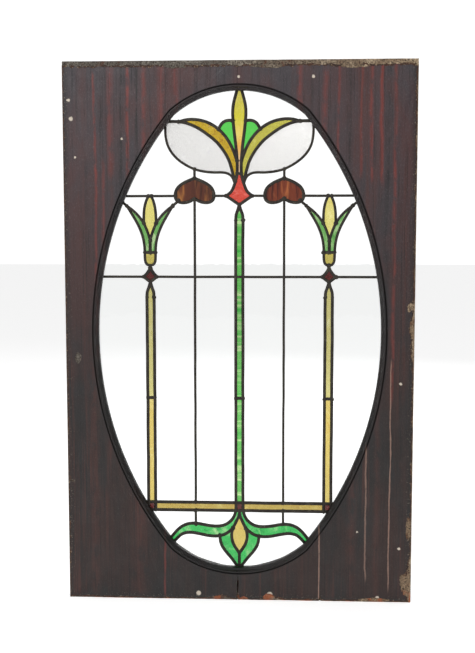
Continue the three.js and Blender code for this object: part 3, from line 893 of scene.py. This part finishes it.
def finish(name, **plain):
    """A new material: its graph, its object coordinates, and its shader with plain values set."""
    material = bpy.data.materials.get(name) or bpy.data.materials.new(name)
    material.use_nodes = True
    graph = Graph(material.node_tree)
    where = graph.add("TexCoord").outputs["Object"]
    shader = graph.add("BsdfPrincipled", {key.replace("_", " "): value
                                          for key, value in plain.items()})
    graph.add("OutputMaterial", {"Surface": shader.outputs[0]})
    return material, graph, where, shader


def feed(graph, shader, **sockets):
    """Joins what a graph has made to the shader."""
    for key, value in sockets.items():
        graph.tree.links.new(value, shader.inputs[key.replace("_", " ")])


def srgb(red, green, blue):
    """A colour as a paint chart gives it, 0 to 255, as the light that it sends back."""
    return tuple((value / 255) ** 2.2 for value in (red, green, blue))


# %% [markdown]
# Three effects serve more than one finish: grain that runs up the boards, grime that gathers in
# flecks and smears, and the wear that creeps in from the outer edges of the sash.

# %% Make the shared effects
def make_grain():
    """Upright wood grain: broad figure, fine lines, and their height."""
    graph, given, close = group(
        "wood_grain", {"Vector": ("Vector", None), "Fineness": ("Float", 1.0)},
        {"Figure": ("Float", None), "Lines": ("Float", None), "Height": ("Float", None)})
    scaled = graph.add("VectorMath", {0: given["Vector"], "Scale": given["Fineness"]},
                       operation="SCALE").outputs[0]
    figure = graph.cloud(graph.times(scaled, (34, 30, 1.6)), detail=3, distortion=0.4)
    lines = graph.cloud(graph.times(scaled, (330, 200, 7)), detail=5, roughness=0.7)
    pores = graph.cloud(graph.times(scaled, (900, 500, 40)), detail=2)
    height = graph.math("MULTIPLY_ADD", pores, 0.35, lines)
    return close(Figure=figure, Lines=lines, Height=height)


def make_grime():
    """Dirt: small flecks, and smears that break up."""
    graph, given, close = group(
        "grime", {"Vector": ("Vector", None), "Amount": ("Float", 0.5)},
        {"Flecks": ("Float", None), "Smears": ("Float", None)})
    fine = graph.cloud(given["Vector"], 420, 3, 0.7)
    broad = graph.cloud(given["Vector"], 28, 6, 0.65, 0.3)
    low = graph.math("SUBTRACT", 0.78, graph.math("MULTIPLY", given["Amount"], 0.16))
    flecks = graph.step(graph.math("MULTIPLY_ADD", broad, 0.15, fine), low,
                        graph.math("ADD", low, 0.05))
    smears = graph.step(broad, 0.62, graph.math("SUBTRACT", 0.78, given["Amount"]))
    return close(Flecks=flecks, Smears=graph.math("SUBTRACT", 1.0, smears))


def make_edge_wear():
    """How near a place lies to the outer edges of the sash, 0 to 1."""
    graph, given, close = group(
        "edge_wear", {"Vector": ("Vector", None), "Reach": ("Float", 0.01)},
        {"Near": ("Float", None)})
    place_now = graph.add("SeparateXYZ", {0: given["Vector"]}).outputs
    across = graph.math("SUBTRACT", SIDE, graph.math("ABSOLUTE", place_now[0]))
    up = graph.math("MINIMUM", place_now[2], graph.math("SUBTRACT", TOP, place_now[2]))
    away = graph.math("MINIMUM", across, up)
    near = graph.step(away, given["Reach"], 0.0)
    return close(Near=near)


GRAIN, GRIME, EDGE_WEAR = make_grain(), make_grime(), make_edge_wear()


def effect(graph, tree, **inputs):
    """One of the shared effects, placed in a finish; gives its outputs."""
    node = graph.add("Group", node_tree=tree)
    for key, value in inputs.items():
        if isinstance(value, bpy.types.NodeSocket):
            graph.tree.links.new(value, node.inputs[key])
        else:
            node.inputs[key].default_value = value
    return node.outputs


# %% [markdown]
# Some marks on the boards are not a pattern but single events: a line of red in the grain, a
# crack, a long scrape. One group draws an upright mark that wanders and swells, for the few that
# are worth one each. The many lines of the grain share one ramp across a board. A second group
# gives how far a place is outside the oval, so that the band of the moulding is darkened almost to
# black.

# %% Make single marks
def make_upright_mark():
    """A mark that runs up a board: where, how far, how wide, and how much it wanders."""
    numbers = {name: ("Float", 0.01) for name in ("X", "Low", "High", "Width", "Wander")}
    graph, given, close = group("upright_mark", {"Vector": ("Vector", None), **numbers},
                                {"Mask": ("Float", None)})
    axes = graph.add("SeparateXYZ", {0: given["Vector"]}).outputs
    own = graph.add("CombineXYZ", {"X": graph.math("MULTIPLY", given["X"], 91.7),
                                   "Z": axes[2]}).outputs[0]
    drift = graph.math("SUBTRACT", graph.cloud(graph.times(own, (1, 1, 8)), detail=4), 0.5)
    swell = graph.cloud(graph.times(own, (1, 1, 34)), detail=3)
    away = graph.math("ABSOLUTE", graph.math(
        "SUBTRACT", axes[0], graph.math("MULTIPLY_ADD", drift, given["Wander"], given["X"])))
    wide = graph.math("MULTIPLY", given["Width"], graph.math("MULTIPLY_ADD", swell, 1.8, 0.1))
    line = graph.step(away, wide, 0.0)
    fade = 0.025
    start = graph.step(axes[2], graph.math("SUBTRACT", given["Low"], fade), given["Low"])
    end = graph.step(axes[2], graph.math("ADD", given["High"], fade), given["High"])
    return close(Mask=graph.math("MULTIPLY", line, graph.math("MULTIPLY", start, end)))


def make_outside_oval():
    """How far a place lies outside the sight edge, in metres."""
    graph, given, close = group("outside_oval", {"Vector": ("Vector", None)},
                                {"Away": ("Float", None)})
    axes = graph.add("SeparateXYZ", {0: given["Vector"]}).outputs
    across = graph.math("ABSOLUTE", axes[0])
    up = graph.math("ABSOLUTE", graph.math("SUBTRACT", axes[2], OVAL_MIDDLE * MM))

    def from_centre(x, z, radius):
        reach = graph.add("CombineXYZ", {"X": graph.math("ADD", across, x * MM),
                                         "Z": graph.math("SUBTRACT", up, z * MM)}).outputs[0]
        length = graph.add("VectorMath", {0: reach}, operation="LENGTH").outputs["Value"]
        return graph.math("SUBTRACT", length, radius * MM)

    side = from_centre(SIDE_CENTRE, 0, SIDE_RADIUS)
    end = from_centre(0, END_CENTRE, END_RADIUS)
    lift = graph.math("MULTIPLY", graph.math("SUBTRACT", up, END_CENTRE * MM), CORNER[0] * MM)
    lean = graph.math("MULTIPLY", across, (CORNER[1] - END_CENTRE) * MM)
    at_end = graph.math("GREATER_THAN", lift, lean)
    chosen = graph.add("Mix", {0: at_end, 2: side, 3: end}).outputs[0]
    return close(Away=chosen)


UPRIGHT_MARK, OUTSIDE_OVAL = make_upright_mark(), make_outside_oval()


def upright_marks(graph, where, marks):
    """A few upright marks as one mask: (x, low, high, width, wander, strength) in mm."""
    total = 0.0
    for x, low, high, width, wander, strength in marks:
        mark = effect(graph, UPRIGHT_MARK, Vector=where, X=x * MM, Low=low * MM, High=high * MM,
                      Width=width * MM, Wander=wander * MM)["Mask"]
        total = graph.math("MAXIMUM", total, graph.math("MULTIPLY", mark, strength))
    return total


def lines_across(graph, where, low, high, marks):
    """Many upright lines on one board between two heights: their colours, and their mask.

    Each line is (x, half width, strength, colour) in millimetres, from left to right.
    """
    axes = graph.add("SeparateXYZ", {0: where}).outputs
    drift = graph.cloud(graph.times(where, (9, 0, 7)), detail=4)
    across = graph.math("MULTIPLY_ADD", drift, 0.016, graph.math("SUBTRACT", axes[0], 0.008))
    margin = 12
    first, last = marks[0][0] - margin, marks[-1][0] + margin
    share = graph.add("MapRange", {"Value": across, "From Min": first * MM,
                                   "From Max": last * MM}).outputs[0]
    ramp = graph.add("ValToRGB", {0: share})
    elements = ramp.color_ramp.elements
    elements[0].color = elements[1].color = (0, 0, 0, 0)
    for x, half, strength, colour in marks:
        for shift, alpha in ((-half, 0), (0, strength), (half, 0)):
            elements.new((x + shift - first) / (last - first)).color = (*colour, alpha)
    breaks = graph.step(graph.cloud(graph.times(where, (60, 0, 26)), detail=4), 0.34, 0.54)
    ends = graph.math("MULTIPLY", graph.step(axes[2], low * MM - 0.03, low * MM),
                      graph.step(axes[2], high * MM + 0.03, high * MM))
    return ramp.outputs[0], graph.math("MULTIPLY", ramp.outputs[1],
                                       graph.math("MULTIPLY", breaks, ends))


RAGGED_BY, RAGGED_MEAN = 0.004, 2


def fleck_spots(graph, where, spots):
    """Single flecks as one mask: (x, z, radius) in mm, with ragged edges."""
    ragged_place = graph.add("VectorMath", {
        0: where, 1: graph.times(graph.add("TexNoise", {
            "Vector": where, "Scale": 260.0, "Detail": 2.0}).outputs["Color"],
            (RAGGED_BY, 0, RAGGED_BY))}, operation="ADD").outputs[0]
    total = 0.0
    for x, z, radius in spots:
        inputs = {0: ragged_place, 1: ((x + RAGGED_MEAN) * MM, FRONT, (z + RAGGED_MEAN) * MM)}
        away = graph.add("VectorMath", inputs, operation="DISTANCE").outputs["Value"]
        total = graph.math("MAXIMUM", total, graph.step(away, radius * MM, 0.5 * radius * MM))
    return total


# %% [markdown]
# The varnish has gone nearly black over a red-brown stain. A painted sheen makes it greyer and
# lighter towards the top, with painted grey glints. Reddish lines run along the grain, and pale
# flecks show near the worn edges.

# %% Varnish the boards
RED, BROWN, BLACK = srgb(116, 46, 38), srgb(72, 34, 25), srgb(17, 16, 17)
LOW_GREY, LOW_RED = srgb(25, 20, 20), srgb(42, 23, 18)
TOP_SHEEN_GREY, TOP_SHEEN_RED = srgb(56, 50, 54), srgb(70, 45, 45)
WOOD_LINES = [
    # low, high, then lines of x, half width, strength and colour
    (860, 1066, [(-281, 4, 0.7, RED), (-250, 9, 0.5, RED), (-229, 4, 0.8, BLACK),
                 (-216, 5, 0.9, RED), (-198, 4, 0.8, BLACK), (-184, 6, 0.6, RED),
                 (-150, 9, 0.5, RED), (-121, 7, 0.5, RED)]),
    (500, 860, [(-300, 5, 0.4, BLACK), (-281, 4, 0.6, RED), (-266, 5, 0.5, RED),
                (-249, 7, 0.4, BROWN), (-232, 5, 0.5, BLACK)]),
    (20, 500, [(-318, 9, 0.5, BLACK), (-288, 14, 0.5, BROWN), (-245, 8, 0.4, BLACK),
               (-200, 22, 0.45, BROWN), (-162, 9, 0.5, BLACK), (-149, 3, 0.7, RED)]),
    (850, 1066, [(117, 8, 0.6, RED), (140, 5, 0.5, BLACK), (165, 8, 0.5, RED), (191, 4, 0.6, RED),
                 (213, 8, 0.5, BLACK), (236, 4, 0.7, RED), (256, 5, 0.8, RED),
                 (275, 5, 0.95, RED), (288, 5, 0.5, BLACK), (301, 5, 0.6, RED)]),
    (420, 850, [(262, 6, 0.3, BROWN), (286, 6, 0.5, BLACK), (301, 5, 0.6, RED),
                (322, 5, 0.4, BROWN)]),
    (10, 420, [(108, 9, 0.5, BLACK), (190, 9, 0.6, BLACK), (224, 14, 0.5, BROWN),
               (272, 9, 0.4, BROWN), (319, 9, 0.6, BLACK)]),
]
PALE_LINES = [
    # x, low, high, width, wander, strength
    (298, 40, 470, 2.0, 9, 0.8), (251, 60, 300, 2.6, 14, 0.6), (160, 10, 138, 1.8, 7, 0.95),
]
PALE_FLECKS = [
    (-326, 956, 5), (-331, 992, 4), (-227, 917, 3), (-319, 882, 3), (143, 1033, 4),
    (317, 441, 3.5), (235, 143, 2.5), (277, 9, 5), (-81, 13, 6), (0, 1034, 3.5), (62, 12, 7),
    (318, 110, 3),
]


MOULDING_EDGE = (0.0135, 0.011)


def varnish_boards():
    """Old dark varnish over stained softwood."""
    material, graph, where, shader = finish("worn_varnish", Roughness=0.5)
    grain = effect(graph, GRAIN, Vector=where)
    grime = effect(graph, GRIME, Vector=where, Amount=0.5)
    wear = effect(graph, EDGE_WEAR, Vector=where, Reach=0.016)
    away = effect(graph, OUTSIDE_OVAL, Vector=where)["Away"]
    axes = graph.add("SeparateXYZ", {0: where}).outputs
    # Painted sheen: the colour turns greyer and lighter towards the top, where light would catch
    # the varnish.
    up = graph.step(axes[2], 0.3, 0.98)
    patches = graph.cloud(graph.times(where, (11, 11, 4)), detail=4, distortion=0.4)
    low = graph.mix(graph.step(patches, 0.4, 0.62), LOW_GREY, LOW_RED)
    high = graph.mix(graph.step(patches, 0.38, 0.64), TOP_SHEEN_GREY, TOP_SHEEN_RED)
    colour = graph.mix(up, low, high)
    for bottom, top, marks in WOOD_LINES:
        tint, mask = lines_across(graph, where, bottom, top, marks)
        colour = graph.mix(mask, colour, tint)
    streaks = graph.math("MULTIPLY", graph.step(grain["Figure"], 0.52, 0.66),
                         graph.step(grain["Lines"], 0.4, 0.62))
    colour = graph.mix(graph.math("MULTIPLY", streaks, 0.5), colour, BROWN)
    colour = graph.mix(graph.math("MULTIPLY", graph.step(grain["Lines"], 0.5, 0.3), 0.7),
                       colour, srgb(15, 11, 12))
    # Painted highlights: light grey glints in the crackle of the varnish, more of them towards the
    # top. The same crackle also raises the bumps.
    crackle = graph.cloud(graph.times(where, (520, 520, 240)), detail=3, roughness=0.7)
    glints = graph.math("MULTIPLY", graph.step(crackle, 0.54, 0.72),
                        graph.math("MULTIPLY_ADD", up, 0.4, 0.1))
    colour = graph.mix(glints, colour, srgb(96, 88, 92))
    colour = graph.mix(graph.math("MULTIPLY", wear["Near"], 0.7), colour, srgb(20, 18, 17))
    # The band of the moulding round the opening is darkened almost to black.
    moulding = graph.step(away, *MOULDING_EDGE)
    colour = graph.mix(graph.math("MULTIPLY", moulding, 0.8), colour, srgb(9, 6, 6))
    flecked = graph.math("MULTIPLY", grime["Flecks"], graph.math(
        "MULTIPLY_ADD", wear["Near"], 0.8, 0.06))
    colour = graph.mix(flecked, colour, srgb(150, 140, 124))
    pale = upright_marks(graph, where, PALE_LINES)
    colour = graph.mix(graph.math("MULTIPLY", pale, graph.step(crackle, 0.2, 0.5)), colour,
                       srgb(150, 118, 104))
    colour = graph.mix(fleck_spots(graph, where, PALE_FLECKS), colour, srgb(196, 184, 168))
    roughness = graph.math("MULTIPLY_ADD", grime["Smears"], 0.16,
                           graph.math("MULTIPLY_ADD", grain["Lines"], -0.2, 0.52))
    lumps = graph.cloud(where, 160, 4, 0.6)
    height = graph.math("MULTIPLY_ADD", lumps, 0.8, graph.math(
        "MULTIPLY_ADD", crackle, 0.9, grain["Height"]))
    feed(graph, shader, Base_Color=colour, Roughness=roughness, Normal=graph.bump(height, 0.4))
    return material


def break_crust():
    """The edge of the varnish and filler where they broke: dark brown as a painted shadow under the
    broken lip, with a pale rim.
    """
    material, graph, where, shader = finish("broken_crust", Roughness=0.75)
    patches = graph.cloud(where, 60, 5, 0.7)
    fine = graph.cloud(where, 420, 4, 0.7)
    # The dark brown is painted shadow along the undercut edge of the break. The pale specks are the
    # real rim of broken paint.
    colour = graph.mix(graph.step(patches, 0.4, 0.6), srgb(40, 24, 17), srgb(66, 40, 26))
    colour = graph.mix(graph.step(fine, 0.58, 0.66), colour, srgb(172, 148, 118))
    feed(graph, shader, Base_Color=colour, Normal=graph.bump(fine, 0.5))
    return material


def weather_bare_wood():
    """Torn wood: cream where it is fresh, grey where it has weathered, brown in its pits."""
    material, graph, where, shader = finish("bare_wood", Roughness=0.85)
    grain = effect(graph, GRAIN, Vector=where, Fineness=1.6)
    axes = graph.add("SeparateXYZ", {0: where}).outputs
    patches = graph.cloud(where, 34, 5, 0.7, 0.4)
    specks = graph.cloud(where, 380, 5, 0.75)
    right = graph.step(axes[0], -0.1, 0.33)
    old = graph.mix(right, srgb(96, 90, 82), srgb(140, 118, 94))
    fresh = graph.mix(graph.step(patches, 0.5, 0.66), old, graph.mix(
        right, srgb(136, 130, 120), srgb(192, 170, 140)))
    colour = graph.mix(graph.step(specks, 0.54, 0.4), fresh, srgb(44, 34, 28))
    rust = graph.math("MULTIPLY", graph.step(patches, 0.46, 0.34), 0.75)
    foot = graph.step(axes[2], 0.03, 0.012)
    colour = graph.mix(rust, colour, srgb(84, 46, 26))
    orange = graph.math("MULTIPLY", foot, graph.step(graph.cloud(where, 48, 3), 0.46, 0.6))
    colour = graph.mix(graph.math("MULTIPLY", orange, 0.7), colour, srgb(158, 82, 44))
    lines = graph.math("MULTIPLY", graph.step(grain["Lines"], 0.48, 0.34), 0.5)
    colour = graph.mix(lines, colour, srgb(44, 34, 28))
    height = graph.math("ADD", specks, grain["Height"])
    feed(graph, shader, Base_Color=colour, Normal=graph.bump(height, 0.7))
    return material


varnish_boards()
break_crust()
weather_bare_wood()

# %% [markdown]
# Lead darkens to a warm grey-brown, in patches, with flecks of whiting left from the
# cement.

# %% Darken the lead
def darken_lead():
    """Oxidised lead with traces of cement."""
    material, graph, where, shader = finish("oxidised_lead", Metallic=0.4)
    grime = effect(graph, GRIME, Vector=where, Amount=0.5)
    patches = graph.cloud(where, 60, 5, 0.65)
    grey = graph.mix(graph.step(patches, 0.35, 0.7), srgb(34, 28, 24), srgb(58, 54, 46))
    chalky = graph.mix(graph.math("MULTIPLY", grime["Flecks"], 0.4), grey, srgb(120, 112, 98))
    roughness = graph.math("MULTIPLY_ADD", patches, 0.3, 0.42)
    fine = graph.cloud(where, 700, 4, 0.7)
    feed(graph, shader, Base_Color=chalky, Roughness=roughness,
         Normal=graph.bump(graph.math("MULTIPLY_ADD", patches, 2.0, fine), 0.22))
    return material


def age_putty():
    """Grey-brown linseed putty, cracked and dusty."""
    material, graph, where, shader = finish("aged_putty", Roughness=0.95)
    grime = effect(graph, GRIME, Vector=where, Amount=0.8)
    patches = graph.cloud(where, 45, 6, 0.7)
    cracks = graph.add("TexVoronoi", {"Vector": where, "Scale": 130.0},
                       feature="DISTANCE_TO_EDGE").outputs["Distance"]
    body = graph.mix(graph.step(patches, 0.35, 0.65), srgb(120, 106, 94), srgb(168, 158, 144))
    cracked = graph.mix(graph.step(cracks, 0.035, 0.0), body, srgb(60, 50, 44))
    dirty = graph.mix(graph.math("MULTIPLY", grime["Smears"], 0.5), cracked, srgb(76, 62, 54))
    height = graph.math("MULTIPLY_ADD", graph.step(cracks, 0.0, 0.05), 0.6, patches)
    feed(graph, shader, Base_Color=dirty, Normal=graph.bump(height, 0.8))
    return material


net.data.materials.clear()
net.data.materials.append(darken_lead())
putty.data.materials.clear()
putty.data.materials.append(age_putty())

# %% [markdown]
# Stained glass is coloured all through. Rolling it while two melts are barely stirred leaves
# streaks, and the roller leaves a faint ripple that bends the light. Colour here is what passes
# through the pane, so it lives in the base colour of a shader that transmits.

# %% Colour the glass
def make_streaks():
    """Two melts barely stirred: a pale and a deep streak in a main colour, and a ripple."""
    colours = {name: ("Color", None) for name in ("Main", "Pale", "Deep")}
    graph, given, close = group(
        "streaky_glass",
        {"Vector": ("Vector", None), **colours, "Pale share": ("Float", 0.5),
         "Deep share": ("Float", 0.3)},
        {"Color": ("Color", None), "Height": ("Float", None)})
    swirl = graph.cloud(given["Vector"], 1.0, 4, 0.55, 1.2)
    other = graph.cloud(graph.times(given["Vector"], (1.3, 1.3, 1.3)), 1.4, 5, 0.6, 0.8)
    edge = graph.math("SUBTRACT", 0.72, graph.math("MULTIPLY", given["Pale share"], 0.4))
    pale = graph.step(swirl, edge, graph.math("ADD", edge, 0.22))
    low = graph.math("SUBTRACT", 0.72, graph.math("MULTIPLY", given["Deep share"], 0.4))
    deep = graph.step(other, low, graph.math("ADD", low, 0.18))
    colour = graph.mix(deep, graph.mix(pale, given["Main"], given["Pale"]), given["Deep"])
    height = graph.math("MULTIPLY_ADD", swirl, 0.5, other)
    return close(Color=colour, Height=height)


STREAKS = make_streaks()


def stained(name, main, pale, deep, streak=(60, 60, 14), shares=(0.5, 0.3), clear=0.92,
            rough=0.18, bands=None, ripple=0.5):
    """A stained glass: its colours, the streaks' frequency per metre, and how clear it is.

    `bands` gives the main colour by height instead, as (z in mm, colour) stops.
    """
    material, graph, where, shader = finish(
        name, Transmission_Weight=clear, Roughness=rough, IOR=1.5)
    if bands:
        height = graph.add("SeparateXYZ", {0: where}).outputs[2]
        drift = graph.math("MULTIPLY_ADD", graph.cloud(where, 55, 3), 0.02, -0.01)
        main = graph.ramp(graph.math("ADD", height, drift),
                          [(z * MM, srgb(*colour)) for z, colour in bands])
    node = graph.add("Group", node_tree=STREAKS)
    vector = graph.times(where, streak)
    inputs = {"Vector": vector, "Main": main, "Pale": pale, "Deep": deep}
    for key, value in inputs.items():
        if isinstance(value, bpy.types.NodeSocket):
            graph.tree.links.new(value, node.inputs[key])
        else:
            node.inputs[key].default_value = (*srgb(*value), 1)
    node.inputs["Pale share"].default_value, node.inputs["Deep share"].default_value = shares
    seeds = graph.cloud(where, 300, 3, 0.6)
    height = graph.math("MULTIPLY_ADD", seeds, 0.3, node.outputs["Height"])
    feed(graph, shader, Base_Color=node.outputs["Color"], Normal=graph.bump(height, ripple))
    return material


def clear_glass():
    """Colourless window glass, very slightly wavy, with a few dusty flecks."""
    material, graph, where, shader = finish(
        "clear_glass", Transmission_Weight=1.0, IOR=1.5, Base_Color=(0.99, 1.0, 0.995, 1))
    waves = graph.cloud(where, 14, 3, 0.5)
    grime = effect(graph, GRIME, Vector=where, Amount=0.1)
    roughness = graph.math("MULTIPLY", grime["Flecks"], 0.12)
    feed(graph, shader, Roughness=roughness, Normal=graph.bump(waves, 0.25))
    return material


OLIVE = (206, 196, 84)
GLASSES = {
    "clear": clear_glass(),
    "bud": stained("bud_glass", OLIVE, (226, 214, 130), (196, 176, 40), (70, 70, 26), (0.5, 0.3),
                   bands=[(840, (222, 190, 160)), (875, (226, 190, 150)), (905, (228, 172, 84)),
                          (930, (226, 200, 104)), (960, (204, 196, 60)), (1015, (190, 178, 90))]),
    "leaf_left": stained("amber_yellow_glass", (190, 160, 44), (206, 188, 80), (150, 104, 26),
                         (70, 70, 70), (0.5, 0.55)),
    "leaf_right": stained("olive_yellow_glass", (182, 176, 76), (204, 200, 110), (166, 156, 50),
                          (70, 70, 70), (0.4, 0.3)),
    "tulip": stained("pale_yellow_glass", (218, 208, 120), (236, 228, 160), (206, 164, 60),
                     (90, 90, 30), (0.5, 0.3)),
    "cup": stained("mustard_glass", (190, 176, 90), (206, 196, 116), (170, 148, 56),
                   (90, 90, 60), (0.4, 0.3)),
    "strip": stained("mottled_yellow_glass", (198, 190, 120), (214, 210, 158), (174, 160, 74),
                     (90, 90, 26), (0.5, 0.35)),
    "amber": stained("golden_glass", (204, 182, 96), (218, 204, 130), (196, 150, 56),
                     (60, 60, 34), (0.45, 0.35)),
    "honey": stained("honey_glass", (178, 154, 74), (196, 180, 104), (158, 116, 44),
                     (34, 34, 60), (0.5, 0.4)),
    "green": stained("green_glass", (96, 180, 84), (186, 216, 152), (48, 160, 62),
                     (5, 5, 52), (0.62, 0.45)),
    "petal": stained("bright_green_glass", (90, 200, 84), (140, 216, 120), (50, 180, 60),
                     (40, 40, 26), (0.4, 0.3)),
    "leafgreen": stained("leaf_green_glass", (106, 166, 88), (190, 212, 160), (60, 128, 58),
                         (70, 70, 34), (0.62, 0.4)),
    "emerald": stained("emerald_glass", (52, 178, 84), (172, 212, 150), (24, 140, 60),
                       (34, 34, 34), (0.58, 0.45)),
    "opal": stained("opal_glass", (222, 221, 219), (232, 231, 230), (212, 210, 213),
                    (60, 60, 60), (0.4, 0.3), clear=0.75, rough=0.5),
    "red": stained("crimson_glass", (206, 76, 62), (226, 122, 112), (170, 30, 26),
                   (60, 60, 120), (0.5, 0.45)),
    "heart_left": stained("amber_brown_glass", (92, 46, 28), (190, 124, 62), (36, 14, 12),
                          (46, 46, 7), (0.62, 0.62), clear=0.6, rough=0.3),
    "heart_right": stained("red_brown_glass", (120, 54, 30), (182, 104, 58), (64, 22, 16),
                           (60, 60, 8), (0.6, 0.6), clear=0.6, rough=0.3),
    "oxblood": stained("oxblood_glass", (84, 27, 24), (112, 46, 34), (54, 14, 14),
                       (90, 90, 90), (0.4, 0.4)),
}
PANES = {
    "bud_top": "bud", "green_petal": "petal", "yellow_leaf_left": "leaf_left",
    "yellow_leaf_right": "leaf_right", "opal_petal": "opal", "red_diamond": "red",
    "heart_left": "heart_left", "heart_right": "heart_right", "tulip_bud": "tulip",
    "tulip_leaf": "leafgreen", "tulip_cup": "cup", "small_diamond": "oxblood",
    "yellow_strip_upper": "strip", "yellow_strip_lower": "amber", "green_strip": "green",
    "red_square": "oxblood", "amber_bar": "honey", "flower_heart": "amber", "scroll": "emerald",
    "lower_petal": "emerald", "clear": "clear",
}


def glaze(pane, name):
    """Gives a pane the glass that its name calls for."""
    start = max((key for key in PANES if name.startswith(key)), key=len)
    pane.data.materials.clear()
    pane.data.materials.append(GLASSES[PANES[start]])


REMADE = {"sash_left", "sash_right", "lead_cames", "glazing_putty"}
for node_name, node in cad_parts.items():
    if node_name not in REMADE:
        glaze(node, node_name)
for pane in new_panes:
    glaze(pane, pane.name)
print(len(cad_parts) - len(REMADE) + len(new_panes), "panes glazed")

# %% [markdown]
# ## The studio
# The sash stands on a pale floor in front of a bright wall of light, so clear glass shows white
# and coloured glass glows. The light that falls on the wood is softer and comes from above.

# %% Light the studio
SEEN_LIGHT, SHED_LIGHT = 1.12, 0.38


def bright_world():
    """White behind the glass, and a softer white for everything that the light falls on."""
    world = bpy.data.worlds.new("studio")
    world.use_nodes = True
    bpy.context.scene.world = world
    graph = Graph(world.node_tree)
    path = graph.add("LightPath")
    seen = graph.add("Math", {0: path.outputs["Is Camera Ray"],
                              1: path.outputs["Is Transmission Ray"]}, operation="MAXIMUM")
    strength = graph.add("Mix", {0: seen.outputs[0], 2: SHED_LIGHT, 3: SEEN_LIGHT})
    white = graph.add("Background", {"Color": (1, 1, 1, 1), "Strength": strength.outputs[0]})
    output = graph.add("OutputWorld", {"Surface": white.outputs[0]})
    return output


bright_world()
drop_all()
bpy.ops.mesh.primitive_plane_add(size=30, location=(0, 8, 0))
floor = settle(bpy.context.object)
floor.name = "floor"
pale = bpy.data.materials.new("pale_floor")
pale.use_nodes = True
shader = pale.node_tree.nodes["Principled BSDF"]
shader.inputs["Base Color"].default_value = (0.92, 0.92, 0.92, 1)
shader.inputs["Roughness"].default_value = 0.9
shader.inputs["Emission Color"].default_value = (1, 1, 1, 1)
shader.inputs["Emission Strength"].default_value = 0.55
floor.data.materials.append(pale)


def soft_light(name, position, target, size, power):
    """A soft square light that faces a point."""
    bpy.ops.object.light_add(type="AREA", location=position)
    light = bpy.context.object
    light.name = name
    light.rotation_euler = (Vector(target) - Vector(position)).to_track_quat("-Z", "Y").to_euler()
    light.data.size = size
    light.data.energy = power


soft_light("front_light", (-1.2, -2.6, 2.6), (0, 0, 0.5), 1.8, 55)
soft_light("back_light", (1.0, 2.6, 2.2), (0, 0, 0.5), 1.8, 40)
bpy.context.scene.view_settings.view_transform = "Standard"
